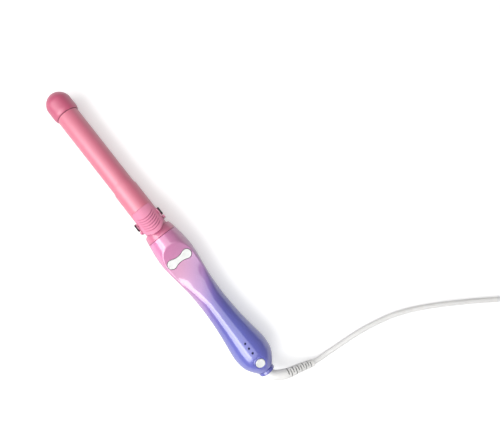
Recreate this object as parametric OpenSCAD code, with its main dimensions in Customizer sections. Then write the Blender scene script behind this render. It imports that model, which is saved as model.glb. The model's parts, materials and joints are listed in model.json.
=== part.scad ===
// Rotating curling iron with a spring clip, a rocker for the turning direction and a swivel cord.
// Millimetres. X runs along the iron from the cool tip to the cord, +Z is up, and the iron lies
// on its back on z = 0 with the clip and the buttons facing up.

/* [Barrel] */
// Outer diameter of the heated barrel
barrel_d = 25.4; // [24.8:0.1:25.8]
// Wall of the barrel tube
barrel_wall = 1.2; // [1:0.1:1.4]
// Length of barrel between the cool tip and the collar
barrel_len = 156.4; // [145:0.2:175]
// Length of the heating plates inside the barrel
heater_len = 80; // [70:1:100]
// Thickness of the heating plate between its two shoes
heater_plate_t = 3.4; // [2.6:0.1:4.4]

/* [Cool tip] */
// Diameter of the cool tip
cap_d = 29; // [28.4:0.1:30]
// Length of the cool tip
cap_len = 28; // [24:0.5:34]
// Height of the tip's dome
cap_dome = 10.3; // [9:0.1:11.5]
// Thickness of the dark seal between tip and barrel
tip_seal_t = 0.5; // [0.4:0.1:0.8]

/* [Clip] */
// Length of the clip's sheet in front of the thumb lever
clip_reach = 35; // [28:0.5:45]
// Thickness of the clip's sheet
clip_sheet = 0.7; // [0.6:0.05:0.8]
// Air between the closed clip and the barrel
clip_air = 0.3; // [0.25:0.05:0.4]
// Length of the thumb lever
lever_len = 31; // [29:0.5:32]
// Width of the thumb lever's front edge
lever_front_w = 22; // [20:0.5:24]
// Greatest width of the thumb lever
lever_w = 26; // [25:0.1:26.1]
// Wall of the thumb lever
lever_wall = 2.2; // [1.8:0.1:2.4]
// Angle at which the lever rises towards the handle
lever_rise = 16; // [16:0.5:18]
// Number of grip grooves on the lever
groove_count = 6; // [3:1:7]
// Distance from groove to groove
groove_pitch = 2.9; // [2.4:0.1:3]
// Width of a grip groove
groove_w = 0.9; // [0.7:0.1:1.3]
// Depth of a grip groove
groove_depth = 0.7; // [0.4:0.1:0.8]

/* [Clip hinge] */
// Height of the hinge pins above the barrel's axis
pin_z = 10; // [9.8:0.1:10.6]
// Diameter of the hinge pins
pin_d = 3; // [2.6:0.1:3.2]
// Diameter of the black heads on the pins
pin_head_d = 9; // [8:0.1:9.4]
// Thickness of the black heads
pin_head_t = 1.9; // [1.6:0.1:2.1]
// Thickness of the hinge ears
ear_t = 0.9; // [0.8:0.1:1.1]
// Thickness of the foot that carries each ear
ear_foot_t = 2.6; // [2.3:0.1:2.8]
// Wire of the clip's return spring
spring_wire = 0.8; // [0.6:0.05:0.85]
// Mean diameter of the clip's return spring
spring_d = 4.4; // [4:0.1:5]

/* [Collar] */
// Length of the visible collar
collar_len = 9; // [8:0.1:11]
// Radius of the collar at its front edge
collar_front_r = 15.6; // [15.2:0.1:16]
// Radius of the neck that holds the barrel's end
neck_r = 13.9; // [13.8:0.1:14.2]
// Length of the neck in front of the collar
neck_len = 8; // [7.6:0.1:8.6]
// Gap at the turning seam between collar and handle
seam_gap = 0.3; // [0.25:0.05:0.5]

/* [Handle] */
// Length of the handle's two shells
handle_len = 180; // [176:0.5:190]
// Radius at the turning seam
seam_r = 17.6; // [17.4:0.1:18]
// Radius of the swell behind the collar
swell_r = 20; // [19.8:0.1:21]
// Radius of the waist
waist_r = 14.5; // [14.3:0.1:15.5]
// Radius of the bulb near the cord
bulb_r = 20; // [19.8:0.1:21]
// Radius where the shells end at the swivel
tail_r = 9.6; // [9.5:0.1:10]
// Wall of the shells
wall = 2.2; // [1.8:0.1:2.3]
// Depth of the flat on which the handle rests
foot_flat = 0.4; // [0.2:0.1:0.6]
// Height of the thumb scoop's floor above the axis
scoop_floor = 9.2; // [9:0.1:10]
// Radius of the scoop's curve towards the collar
scoop_r = 54; // [50:1:58]
// Radius of the scoop's curve towards the waist
scoop_rear_r = 120; // [110:1:130]

/* [Buttons] */
// Radius of the rocker's two lobes
lobe_r = 5.1; // [4.9:0.1:5.3]
// Distance of each lobe's centre from the middle
lobe_y = 9.6; // [9.4:0.1:10]
// Width of the rocker's waist
rocker_waist = 6; // [5.4:0.1:6.6]
// Gap round the rocker
rocker_gap = 0.5; // [0.45:0.05:0.6]
// Diameter of the power button
button_d = 10.2; // [9.8:0.1:10.8]
// Height of the raised ring round the power button
bezel_h = 0.7; // [0.5:0.1:0.9]
// Diameter of the bevelled recess round the power button and its ring
recess_d = 14.8; // [14.2:0.1:15.4]
// Gap round the power button
button_gap = 0.3; // [0.25:0.05:0.4]
// Travel of the power button
button_travel = 0.8; // [0.6:0.1:0.8]
// Diameter of the three indicator windows
window_d = 2.2; // [1.8:0.1:2.6]
// Distance from window to window
window_pitch = 6.1; // [5.5:0.1:6.6]

/* [Drive] */
// Tooth size, as pitch diameter over number of teeth
gear_module = 0.5; // [0.48:0.01:0.5]
// Teeth on the rotor's gear
gear_teeth = 28; // [28:1:28]
// Teeth on the motor's pinion
pinion_teeth = 12; // [12:1:12]
// Width of the gear faces
gear_w = 4; // [3.4:0.1:4]
// Diameter of the rotor's shaft
shaft_d = 10; // [9.6:0.1:10.2]
// Running clearance of shafts in their bushes, on the radius
running = 0.05; // [0.03:0.01:0.08]
// Diameter of the motor's shaft
motor_shaft_d = 3; // [2.6:0.1:3]

/* [Swivel and cord] */
// Length of the end flange
flange_len = 4.6; // [4.2:0.1:6]
// Radius of the end flange
flange_r = 9.1; // [8.8:0.1:9.3]
// Radius of the swivel's core and of the strain relief's smooth part
core_r = 5.7; // [5.4:0.1:5.8]
// Diameter of the cord
cord_d = 5.5; // [5.1:0.1:5.6]
// Turns of cord in each layer of the stowed coil
layer_turns = 2.75; // [1.75:1:2.75]
// Gap between the cord's turns
coil_gap = 0.55; // [0.5:0.05:0.8]
// Radius of the coil's innermost turn
coil_in_r = 21; // [20:0.5:23]

/* [Hidden] */
$fn = 96;
fit = 0.05;
clear = 0.3;

// Places along the iron
total_len = cap_len + barrel_len + collar_len + seam_gap + handle_len + flange_len;
tip_x = -total_len / 2;
cap_x = tip_x + cap_len;
collar_x = cap_x + barrel_len;
seam_x = collar_x + collar_len;
handle_x = seam_x + seam_gap;
tail_x = handle_x + handle_len;
end_x = tail_x + flange_len;
axis_z = max(swell_r, bulb_r) - foot_flat;
barrel_r = barrel_d / 2;
bore_r = barrel_r - barrel_wall;

// Clip and lever
clip_in_r = barrel_r + clip_air;
clip_out_r = clip_in_r + clip_sheet;
lever_rear_x = collar_x + 3.5;
lever_x = lever_rear_x - lever_len;
clip_x = lever_x - clip_reach;
clip_rear_x = lever_x + 9.5;
clip_tip_r = 15.8;
pin_x = lever_x + 14.2;
eye_r = 3.6;
lever_top = clip_out_r + 1.8;
lever_crown_r = 16.5;
lever_end_r = 15.3;
groove_r = 14.5;
groove_half = 9.5;
groove_last_x = lever_rear_x - 4.6;
ear_y = lever_w / 2 + 0.4;
ear_r = pin_head_d / 2 + 0.3;
ear_rear_x = collar_x - 4.7;
neck_x = collar_x - neck_len;
barrel_end_x = collar_x - 4.4;
rivet_x = lever_x + 5;
rivet_y = 5;
rivet_r = 1.1;
spring_x = collar_x - 4;
spring_seat = neck_r + 0.3;
spring_curls = 3.5;

// Rotor
shaft_r = shaft_d / 2;
flange_t = 3;
rotor_flange_r = 11.4;
rotor_bore_r = 3.2;
front_wall = 4.6;
bush_r = 7.5;
ring_x = handle_x + front_wall + 0.2;
ring_t = 0.7;
drum_x = ring_x + ring_t;
drum_len = 8;
drum_r = 6.3;
slip_r = 6.7;
slip_w = 2;
gear_x = drum_x + drum_len + 0.8;
pitch_r = gear_module * gear_teeth / 2;
pinion_r = gear_module * pinion_teeth / 2;
drive_drop = pitch_r + pinion_r;
plate_x = gear_x + gear_w + 0.7;
plate_t = 1.9;
tail_journal_r = 3;
rear_bush_r = 4.6;
plate_r = 17;
plate_top = 9.6;

// Gear motor, a common small size of 12 by 10 mm
motor_w = 12;
motor_h = 10;
gearbox_len = 9;
can_len = 15;
motor_x = plate_x + plate_t;
can_x = motor_x + gearbox_len;

// Rocker
scoop_x = handle_x + 43.7;
rocker_x = handle_x + 30.5;
rocker_dx = scoop_x - rocker_x;
rocker_tilt = asin(rocker_dx / scoop_r);
rocker_z = scoop_floor + scoop_r - sqrt(scoop_r * scoop_r - rocker_dx * rocker_dx);
rocker_proud = 0.5;
rocker_under = wall;
rocker_axle_z = 4;
rocker_axle_r = 0.8;
rocker_board_z = 6.2;
rocker_board_t = 1.2;
post_x = 5.2;
post_y = 4.7;
switch_w = 6;

// Power button and indicator windows
button_x = tail_x - 12.4;
window_x = button_x - 20.2;
button_z = 15.9;
button_tilt = 20;
button_proud = 1.2;
button_flange_r = button_d / 2 + 1.2;
button_floor = 2.2;
power_board_z = 9.2;
status_z = 12.6;

// Boards and screws in the handle
board_w = 16;
board_z = -2.2;
board_t = 1.6;
screw_y = 10.5;
front_screw_x = scoop_x + 10;
rear_screw_x = tail_x - 46.3;
screw_at = [[front_screw_x, screw_y], [rear_screw_x, screw_y]];
board_x = front_screw_x + 5.3;
board_len = rear_screw_x - front_screw_x - 13;
screw_r = 1;
screw_head_r = 2.1;
screw_seat_z = -9.5;
boss_r = 2.7;

// Swivel
cavity_end_x = tail_x - 6.3;
sleeve_r = 7.5;
sleeve_x = tail_x - 5.4;
rib_x = tail_x - 3.8;
rib_t = 1.4;
rib_r = 9;
core_x = sleeve_x - 0.3;
core_flange_r = 7;
core_flange_t = 1.4;

// Stations of the handle's outline: share of the handle's length, and radius
function mix(a, b, share) = a + (b - a) * share;
handle_stations = [
    [0, seam_r], [0.06, mix(seam_r, swell_r, 0.62)], [0.132, swell_r],
    [0.2, mix(swell_r, waist_r, 0.15)], [0.255, mix(swell_r, waist_r, 0.39)],
    [0.31, mix(swell_r, waist_r, 0.64)], [0.375, mix(swell_r, waist_r, 0.87)],
    [0.435, mix(swell_r, waist_r, 0.96)], [0.495, waist_r],
    [0.555, mix(waist_r, bulb_r, 0.06)], [0.615, mix(waist_r, bulb_r, 0.16)],
    [0.675, mix(waist_r, bulb_r, 0.33)], [0.735, mix(waist_r, bulb_r, 0.56)],
    [0.795, mix(waist_r, bulb_r, 0.83)], [0.845, bulb_r],
    [0.885, mix(bulb_r, tail_r, 0.03)], [0.915, mix(bulb_r, tail_r, 0.12)],
    [0.945, mix(bulb_r, tail_r, 0.33)], [0.972, mix(bulb_r, tail_r, 0.63)], [1, tail_r]
];

// A smooth line through a list of points, with n steps from point to point
function between(p, i, t) =
    let (a = p[max(i - 1, 0)], b = p[i], c = p[i + 1], d = p[min(i + 2, len(p) - 1)])
    0.5 * (2 * b + (c - a) * t + (2 * a - 5 * b + 4 * c - d) * t * t
        + (3 * b - a - 3 * c + d) * t * t * t);
function smooth(p, n) = concat(
    [for (i = [0:len(p) - 2]) for (k = [0:n - 1]) between(p, i, k / n)], [p[len(p) - 1]]);

handle_line = smooth([for (s = handle_stations) [handle_x + s[0] * handle_len, s[1]]], 3);

// Stowed cord: the route's points are chosen by hand, in the row's frame
cord_r = cord_d / 2;
tie_t = 1.2;
coil_z = tie_t + 0.2 + cord_r;
coil_pitch = cord_d + coil_gap;
coil_out_r = coil_in_r + layer_turns * coil_pitch;
coil_layers = 4;
relief_route = [
    [end_x, 0, axis_z], [end_x + 0.6, 0, axis_z], [192.6, 0.4, axis_z], [196, 2.3, 19.5],
    [199, 5.7, 19.3], [202, 10.2, 18.6], [204.7, 15.3, 17.6], [207.5, 22.5, 15.4],
    [210.2, 29.6, 12.9], [213.3, 36.8, 10.2], [216.9, 45, 7.3]
];
run_route = [
    [216.9, 45, 7.3], [218.7, 53, 5.1], [219.7, 62, 3.6], [220.5, 71, 3], [221.2, 80, 2.8],
    [222, 92, 2.8], [223.2, 105, 2.8], [225, 118, 2.8], [227.6, 131, 2.8], [230.7, 144, 2.8],
    [234.7, 156, 2.8], [239.7, 168, 2.8], [245.7, 180, 2.8], [252.2, 192, 2.8], [259.2, 204, 2.8],
    [266.7, 216, 2.8], [274.2, 228, 2.8], [282.2, 240, 2.8], [290.2, 252, 2.8], [298.2, 264, 2.8],
    [305.2, 275, 3], [311.2, 284.5, 3.4], [316.2, 292.5, 3.9], [319.6, 297.8, 4.15],
    [323.2, 302.6, 4.15]
];
coil_start = run_route[len(run_route) - 1];
coil_before = run_route[len(run_route) - 2];
coil_heading = atan2(coil_start[1] - coil_before[1], coil_start[0] - coil_before[0]);
coil_centre = [coil_start[0] - coil_out_r * sin(coil_heading),
    coil_start[1] + coil_out_r * cos(coil_heading)];
coil_rise = cord_d + coil_gap;
coil_end = [coil_start[0], coil_start[1], coil_z + (coil_layers - 1) * coil_rise];
tail_route = [
    coil_end, [coil_end[0] + 4.8, coil_end[1] + 6.4, coil_end[2] - 0.2], [333.2, 320, 20.6],
    [338.2, 334, 18.2], [337.7, 349, 15.2], [330.7, 362.5, 12.3], [319.2, 372.5, 10.2],
    [306.2, 377.5, 9.1], [295.2, 378.5, 8.8], [289.2, 378.5, 8.8]
];
plug_at = tail_route[len(tail_route) - 1];
plug_w = 25;
plug_h = 17.6;
plug_len = 32;
nose_len = 9;
blade_len = 17;

// Shapes that repeat
module on_axis() {
    translate([0, 0, axis_z]) children();
}

module rod_x(r, from, to) {
    translate([from, 0, 0]) rotate([0, 90, 0]) cylinder(r = r, h = to - from);
}

module tube_x(outer, inner, from, to) {
    difference() {
        rod_x(outer, from, to);
        rod_x(inner, from - 1, to + 1);
    }
}

// Turns a list of [x, radius] about the iron's axis
module turned_x(line) {
    first = line[0][0];
    last = line[len(line) - 1][0];
    rotate([0, 90, 0])
        rotate_extrude()
            polygon(concat([[0, first]], [for (p = line) [p[1], p[0]]], [[0, last]]));
}

module both_sides() {
    children();
    mirror([0, 1, 0]) children();
}

module box(low, high) {
    translate(low) cube(high - low);
}

// A tube swept along a route, with a radius for each of its points
function unit(v) = v / norm(v);
function heading(p, i) = unit(p[min(i + 1, len(p) - 1)] - p[max(i - 1, 0)]);
function ring_points(p, i, r, sides) =
    let (t = heading(p, i), across = unit(cross(t, [0, 0, 1])), over = cross(across, t))
    [for (k = [0:sides - 1]) p[i] + r * cos(360 * k / sides) * across
        + r * sin(360 * k / sides) * over];

module swept(route, radii, sides) {
    rings = len(route);
    points = [for (i = [0:rings - 1]) each ring_points(route, i, radii[i], sides)];
    walls = [for (i = [0:rings - 2]) for (k = [0:sides - 1])
        let (a = i * sides + k, b = i * sides + (k + 1) % sides)
        each [[a, a + sides, b], [b, a + sides, b + sides]]];
    first = [for (k = [1:sides - 2]) [0, k, k + 1]];
    top = (rings - 1) * sides;
    last = [for (k = [1:sides - 2]) [top, top + k + 1, top + k]];
    polyhedron(concat(points), concat(walls, first, last));
}

module tube_along(route, r, sides) {
    swept(route, [for (p = route) r], sides);
}

// Cool tip
module tip_cap() {
    r = cap_d / 2;
    dome_edge = r - 0.4;
    dome_r = (dome_edge * dome_edge + cap_dome * cap_dome) / (2 * cap_dome);
    dome_turn = asin(dome_edge / dome_r);
    dome = [for (k = [0:12]) let (a = dome_turn * k / 12)
        [tip_x + dome_r * (1 - cos(a)), dome_r * sin(a)]];
    rim = [[tip_x + cap_dome + 0.8, r], [cap_x - 4, r], [cap_x - 1.8, r - 0.35],
        [cap_x - 0.5, barrel_r + 0.65], [cap_x, barrel_r + 0.3]];
    color("#d97f9f") on_axis() difference() {
        union() {
            turned_x(concat(dome, rim));
            rod_x(bore_r - fit, cap_x - 1, cap_x + tip_seal_t + 8);
        }
        rod_x(bore_r - 2.2, tip_x + 5, cap_x + tip_seal_t + 9);
    }
}

module tip_seal() {
    color("#4a2a34") on_axis() tube_x(barrel_r + 0.3, bore_r, cap_x, cap_x + tip_seal_t);
}

// Barrel and what heats it
module barrel_tube() {
    color("#f59bb2") on_axis() tube_x(barrel_r, bore_r, cap_x + tip_seal_t, barrel_end_x);
}

heater_mid_x = (cap_x + collar_x) / 2 - 15;
heater_x = heater_mid_x - heater_len / 2;
heater_end_x = heater_x + heater_len;
shoe_r = bore_r - 0.15;

module heater_shoes() {
    half_gap = heater_plate_t / 2 + 0.1;
    color("#c9cccf") on_axis() for (side = [-1, 1])
        intersection() {
            rod_x(shoe_r, heater_x, heater_end_x);
            translate([heater_x, -shoe_r, side > 0 ? half_gap : -half_gap - shoe_r])
                cube([heater_len, 2 * shoe_r, shoe_r]);
        }
}

module heater_plate() {
    color("#b58a55") on_axis()
        box([heater_x + 5, -8, -heater_plate_t / 2], [heater_end_x - 2, 8, heater_plate_t / 2]);
}

module heater_leads() {
    color("#e8e4da") on_axis() both_sides()
        translate([0, 1.5, 0]) rod_x(0.8, heater_end_x - 2, drum_x + drum_len);
}

module temperature_sensor() {
    color("#6b4a2f") on_axis() translate([0, 0, shoe_r / 2]) rod_x(1.3, heater_end_x, heater_end_x + 7);
}

// Collar, the moulding that carries barrel, hinge and rotor
module hinge_ear() {
    difference() {
        union() {
            translate([pin_x, ear_y, pin_z]) rotate([-90, 0, 0]) cylinder(r = ear_r, h = ear_t);
            box([pin_x, ear_y, pin_z - ear_r], [neck_x + 0.1, ear_y + ear_t, pin_z + 2.6]);
            box([neck_x, ear_y, -3.4], [ear_rear_x, ear_y + ear_foot_t, pin_z + 2.6]);
            box([neck_x, barrel_r - 0.4, -3.4], [ear_rear_x, ear_y + ear_t, 3.4]);
        }
        translate([pin_x, 0, pin_z]) rotate([-90, 0, 0]) cylinder(d = pin_d, h = 30);
    }
}

module collar() {
    web_x = seam_x - flange_t;
    color("#f191ab") on_axis() difference() {
        union() {
            rod_x(neck_r, neck_x, ear_rear_x + 0.1);
            rod_x(neck_r - 0.8, neck_x, collar_x + 0.5);
            turned_x([[collar_x, collar_front_r - 0.5], [collar_x + 0.5, collar_front_r],
                [mix(collar_x, seam_x, 0.5), mix(collar_front_r, seam_r, 0.56)],
                [seam_x - 0.3, seam_r - 0.05], [seam_x, seam_r - 0.3]]);
            both_sides() hinge_ear();
            translate([spring_x, 0, neck_r - 2]) cylinder(r = spring_d / 2 + 1, h = 2.3);
        }
        tube_x(barrel_r + fit, bore_r - fit, neck_x - 1, barrel_end_x + 0.1);
        rod_x(bore_r - 2.2, neck_x - 1, barrel_end_x);
        rod_x(rotor_bore_r, neck_x, seam_x + 1);
        rod_x(rotor_flange_r + fit, web_x, seam_x + 1);
        for (a = [60, 180, 300]) rotate([a, 0, 0]) translate([0, 0, 8.4])
            rod_x(screw_r, web_x - 6, seam_x);
    }
}

module clip_pins() {
    color("#b9bcc0") on_axis() both_sides() translate([pin_x, ear_y - 2.4, pin_z])
        rotate([-90, 0, 0]) cylinder(d = pin_d, h = ear_t + 2.4 + pin_head_t / 2);
}

module pin_heads() {
    color("#17130f") on_axis() both_sides() translate([pin_x, ear_y + ear_t, pin_z]) rotate([-90, 0, 0])
        difference() {
            rotate_extrude() polygon([[0, 0], [pin_head_d / 2, 0], [pin_head_d / 2, pin_head_t - 0.6],
                [pin_head_d / 2 - 0.7, pin_head_t], [0, pin_head_t]]);
            translate([0, 0, -1]) cylinder(d = pin_d, h = 1 + pin_head_t / 2);
        }
}

lever_under = lever_top - lever_wall + (spring_x - lever_x) * tan(lever_rise);

module clip_spring() {
    steps = 8;
    low = spring_seat + spring_wire / 2;
    rise = lever_under - 1.05 - spring_wire / 2 - low;
    turns = spring_curls;
    route = [for (k = [0:turns * steps]) let (a = 360 * k / steps)
        [spring_x + spring_d / 2 * cos(a), spring_d / 2 * sin(a), low + rise * k / (turns * steps)]];
    color("#c4c7ca") on_axis() tube_along(route, spring_wire / 2, 6);
}

// Rotor
module rotor_shaft() {
    color("#3b3b3e") on_axis() difference() {
        union() {
            rod_x(rotor_flange_r, seam_x - flange_t, seam_x);
            rod_x(shaft_r, seam_x - 0.5, plate_x - 0.4);
            rod_x(tail_journal_r, plate_x - 0.5, plate_x + plate_t + 0.2);
        }
        rod_x(rotor_bore_r, seam_x - flange_t - 1, gear_x + 1);
        for (a = [60, 180, 300]) rotate([a, 0, 0]) translate([0, 0, 8.4]) {
            rod_x(screw_r, seam_x - flange_t - 1, seam_x + 1);
            rod_x(screw_head_r - 0.2, seam_x - 1.4, seam_x + 1);
        }
    }
}

module rotor_screws() {
    color("#9a9da1") on_axis() for (a = [60, 180, 300]) rotate([a, 0, 0]) translate([0, 0, 8.4]) {
        rod_x(screw_r, seam_x - flange_t - 6, seam_x - 1.4);
        rod_x(screw_head_r - 0.3, seam_x - 1.4, seam_x - 0.1);
    }
}

module retaining_ring() {
    color("#8f9296") on_axis() tube_x(7.2, shaft_r, ring_x, ring_x + ring_t);
}

module slip_drum() {
    color("#2b2b2e") on_axis() difference() {
        tube_x(drum_r, shaft_r, drum_x, drum_x + drum_len);
        for (x = slip_at) tube_x(drum_r + 1, drum_r - 0.5, x, x + slip_w);
    }
}

slip_at = [drum_x + 1.2, drum_x + drum_len - 1.2 - slip_w];

module slip_rings() {
    color("#c79a3a") on_axis() for (x = slip_at) tube_x(slip_r, drum_r - 0.5, x, x + slip_w);
}

// Spur gear outline with rounded-off straight flanks
function tooth_points(teeth, pitch, k) =
    let (step = 360 / teeth, a = k * step, root = pitch - 1.25 * gear_module,
        tip = pitch + 0.92 * gear_module)
    [for (q = [[root, -0.36], [pitch - 0.5 * gear_module, -0.3], [pitch, -0.232],
            [pitch + 0.5 * gear_module, -0.165], [tip, -0.1], [tip, 0.1],
            [pitch + 0.5 * gear_module, 0.165], [pitch, 0.232],
            [pitch - 0.5 * gear_module, 0.3], [root, 0.36]])
        q[0] * [cos(a + q[1] * step), sin(a + q[1] * step)]];

module spur(teeth, width, bore) {
    pitch = gear_module * teeth / 2;
    linear_extrude(width) difference() {
        polygon([for (k = [0:teeth - 1]) each tooth_points(teeth, pitch, k)]);
        circle(r = bore);
    }
}

module drive_gear() {
    color("#e6e2d6") on_axis() translate([gear_x, 0, 0]) rotate([0, 90, 0])
        spur(gear_teeth, gear_w, shaft_r);
}

module motor_shaft() {
    color("#b9bcc0") on_axis() translate([0, 0, -drive_drop])
        rod_x(motor_shaft_d / 2, gear_x - 0.6, motor_x - 0.05);
}

// A tooth of the gear points down at the pinion, so the pinion stands half a step round
module pinion() {
    color("#c79a3a") on_axis() translate([gear_x, 0, -drive_drop]) rotate([0, 90, 0])
        rotate([0, 0, 180 / pinion_teeth]) spur(pinion_teeth, gear_w, motor_shaft_d / 2);
}

// Clip
module clip_spoon() {
    color("#f59bb2") on_axis() difference() {
        intersection() {
            tube_x(clip_out_r, clip_in_r, clip_x, clip_rear_x);
            union() {
                translate([clip_x + clip_tip_r, 0, 0]) cylinder(r = clip_tip_r, h = 30);
                box([clip_x + clip_tip_r, -30, 0], [clip_rear_x + 1, 30, 30]);
            }
            box([clip_x - 1, -30, 0.4], [clip_rear_x + 1, 30, 30]);
        }
        both_sides() translate([rivet_x, rivet_y, 0]) cylinder(r = rivet_r, h = 30);
    }
}

// Tilted cylinder whose crown is the lever's top, lowered by depth
module lever_crown(depth) {
    translate([lever_x, 0, lever_top]) rotate([0, -lever_rise, 0])
        translate([0, 0, -lever_crown_r]) rod_x(lever_crown_r - depth, -12, lever_len + 24);
}

module lever_plan() {
    half = lever_w / 2;
    front = lever_front_w / 2;
    straight = lever_rear_x - lever_end_r + sqrt(lever_end_r * lever_end_r - half * half);
    ends = [for (k = [0:16]) let (a = asin(half / lever_end_r) * (1 - k / 8))
        [lever_rear_x - lever_end_r + lever_end_r * cos(a), lever_end_r * sin(a)]];
    polygon(concat([[lever_x, -front], [lever_x, front], [lever_x + 7.5, half - 0.5],
        [lever_x + 12, half]], [[straight - 0.2, half]], ends, [[straight - 0.2, -half],
        [lever_x + 12, -half], [lever_x + 7.5, -half + 0.5]]));
}

module thumb_lever() {
    side_t = 1.6;
    half = lever_w / 2;
    groove_set = sqrt(groove_r * groove_r - groove_half * groove_half);
    color("#f3a3be") on_axis() difference() {
        union() {
            difference() {
                intersection() {
                    linear_extrude(40) lever_plan();
                    lever_crown(0);
                }
                difference() {
                    lever_crown(lever_wall);
                    box([lever_x - 12, -half, -5], [clip_rear_x + 0.3, half, 40]);
                }
            }
            both_sides() difference() {
                union() {
                    translate([pin_x, half - side_t, pin_z]) rotate([-90, 0, 0])
                        cylinder(r = eye_r, h = side_t);
                    intersection() {
                        box([pin_x - eye_r, half - side_t, pin_z], [pin_x + eye_r, half, 40]);
                        lever_crown(0.5);
                    }
                }
            }
        }
        rod_x(clip_out_r, lever_x - 5, clip_rear_x + 0.3);
        box([clip_rear_x + 0.3, -half + side_t, -5], [pin_x + eye_r + 1, half - side_t, pin_z + 1]);
        translate([pin_x, -30, pin_z]) rotate([-90, 0, 0]) cylinder(r = pin_d / 2 + fit, h = 60);
        both_sides() translate([rivet_x, rivet_y, 0]) cylinder(r = rivet_r, h = clip_out_r + 1.4);
        for (k = [0:groove_count - 1]) {
            x = groove_last_x - k * groove_pitch;
            difference() {
                translate([x - groove_r, 0, 0]) cylinder(r = groove_r + groove_w / 2, h = 40);
                translate([x - groove_r, 0, -1]) cylinder(r = groove_r - groove_w / 2, h = 42);
                box([-200, -30, -1], [x - groove_r + groove_set, 30, 41]);
                lever_crown(groove_depth);
            }
        }
    }
}

module lever_rivets() {
    color("#9a9da1") on_axis() both_sides() difference() {
        translate([rivet_x, rivet_y, 0]) cylinder(r = rivet_r, h = clip_out_r + 1.4);
        rod_x(clip_in_r, lever_x - 5, clip_rear_x);
    }
}

// Handle
module scoop(grow) {
    module curve(r) {
        translate([scoop_x, 50, scoop_floor + r]) rotate([90, 0, 0]) cylinder(r = r + grow, h = 100, $fn = 160);
    }
    curve(scoop_r);
    intersection() {
        curve(scoop_rear_r);
        box([scoop_x, -60, -60], [scoop_x + 2 * scoop_rear_r, 60, 300]);
    }
}

module at_rocker() {
    translate([rocker_x, 0, rocker_z]) rotate([0, rocker_tilt, 0]) children();
}

module at_button() {
    translate([button_x, 0, button_z]) rotate([0, button_tilt, 0]) children();
}

module handle_solid() {
    ring_out_r = recess_d / 2 - 0.1;
    difference() {
        turned_x(handle_line);
        scoop(0);
        at_button() {
            cylinder(d1 = recess_d, d2 = recess_d + 3.6, h = 1.8);
            translate([0, 0, 1.7]) cylinder(d = recess_d + 3.5, h = 20);
        }
        box([handle_x, -30, -60], [tail_x, 30, -axis_z]);
    }
    at_button() rotate_extrude() polygon([[4, -1], [ring_out_r, -1], [ring_out_r, 0.1],
        [ring_out_r - 0.3, bezel_h - 0.2], [ring_out_r - 0.8, bezel_h], [4, bezel_h]]);
}

// Room inside the shells
module handle_cavity() {
    from = handle_x + front_wall;
    inner = [for (p = handle_line) if (p[0] > from + 1 && p[0] < cavity_end_x - 1) [p[0], p[1] - wall]];
    first = lookup(from, handle_line) - wall;
    last = lookup(cavity_end_x, handle_line) - wall;
    difference() {
        turned_x(concat([[from, first]], inner, [[cavity_end_x, last]]));
        scoop(wall);
        at_button() translate([0, 0, -button_floor]) cylinder(d = recess_d + 4, h = 30);
        at_rocker() for (side = [-1, 1]) translate([side * 4.6, 0, 0])
            box([-1.3, -2, -rocker_axle_z - 1.6], [1.3, 2, 0]);
        at_rocker() for (x = [-post_x, post_x], y = [-post_y, post_y])
            translate([x, y, -rocker_board_z]) cylinder(r = 0.8, h = rocker_board_z, $fn = 32);
        for (x = [window_x - 9.5, window_x + 9.5])
            translate([x, 0, status_z]) cylinder(r = 1.3, h = 20);
        at_button() both_sides() translate([0, 8.4, -power_board_z]) cylinder(r = 1.2, h = 12);
        for (p = screw_at) both_sides() translate([p[0], p[1], -30]) cylinder(r = boss_r, h = 60);
        for (x = [board_x + 4, board_x + board_len - 4]) both_sides()
            translate([x, 5.5, -30]) cylinder(r = 1.6, h = 30 + board_z - board_t);
        box([tail_x - 11.8, -3, -30], [tail_x - 9.4, 3, -8]);
        difference() {
            box([plate_x - 1.6, -30, -30], [plate_x - 0.1, 30, -15.5]);
            rod_x(8, plate_x - 3, plate_x + 3);
        }
    }
}

module shell_holes() {
    rod_x(bush_r + fit, handle_x - 1, handle_x + front_wall + 1);
    rod_x(sleeve_r + fit, cavity_end_x - 1, tail_x + 1);
    rod_x(rib_r + fit, rib_x - fit, rib_x + rib_t + fit);
}

module shell_half(side) {
    keep = side > 0 ? 0 : -60;
    intersection() {
        difference() {
            handle_solid();
            handle_cavity();
            shell_holes();
        }
        translate([handle_x - 1, -30, keep]) cube([handle_len + 2, 60, 60]);
    }
}

module bone(grow) {
    r = lobe_r + grow;
    half = rocker_waist / 2 + grow;
    side_r = (half * half + lobe_y * lobe_y - r * r) / (2 * (r - half));
    reach = side_r + half;
    turn = lobe_y / (side_r + r);
    difference() {
        union() {
            translate([0, -lobe_y]) circle(r = r);
            translate([0, lobe_y]) circle(r = r);
            square([2 * r * reach / (side_r + r), 2 * (lobe_y - r * turn)], center = true);
        }
        translate([-reach, 0]) circle(r = side_r);
        translate([reach, 0]) circle(r = side_r);
    }
}

module front_shell() {
    color("#b38bc8") on_axis() difference() {
        shell_half(1);
        at_rocker() translate([0, 0, -rocker_under - 0.6]) linear_extrude(12) bone(rocker_gap);
        at_rocker() translate([0, 0, -rocker_axle_z]) rod_x(rocker_axle_r + 0.01, -7, 7);
        for (k = [-1:1]) translate([window_x + k * window_pitch, 0, 10])
            cylinder(d = window_d + 2 * fit, h = 20);
        at_button() translate([0, 0, -button_floor - 1]) cylinder(d = button_d + 2 * button_gap, h = 8);
        for (p = screw_at) both_sides() translate([p[0], p[1], -1]) cylinder(r = screw_r, h = 7);
    }
}

module back_shell() {
    color("#9d7fc4") on_axis() difference() {
        shell_half(-1);
        for (p = screw_at) both_sides() translate([p[0], p[1], -30]) {
            cylinder(r = screw_r + 0.25, h = 40);
            cylinder(r = screw_head_r + 0.2, h = 30 + screw_seat_z);
        }
    }
}

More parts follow.
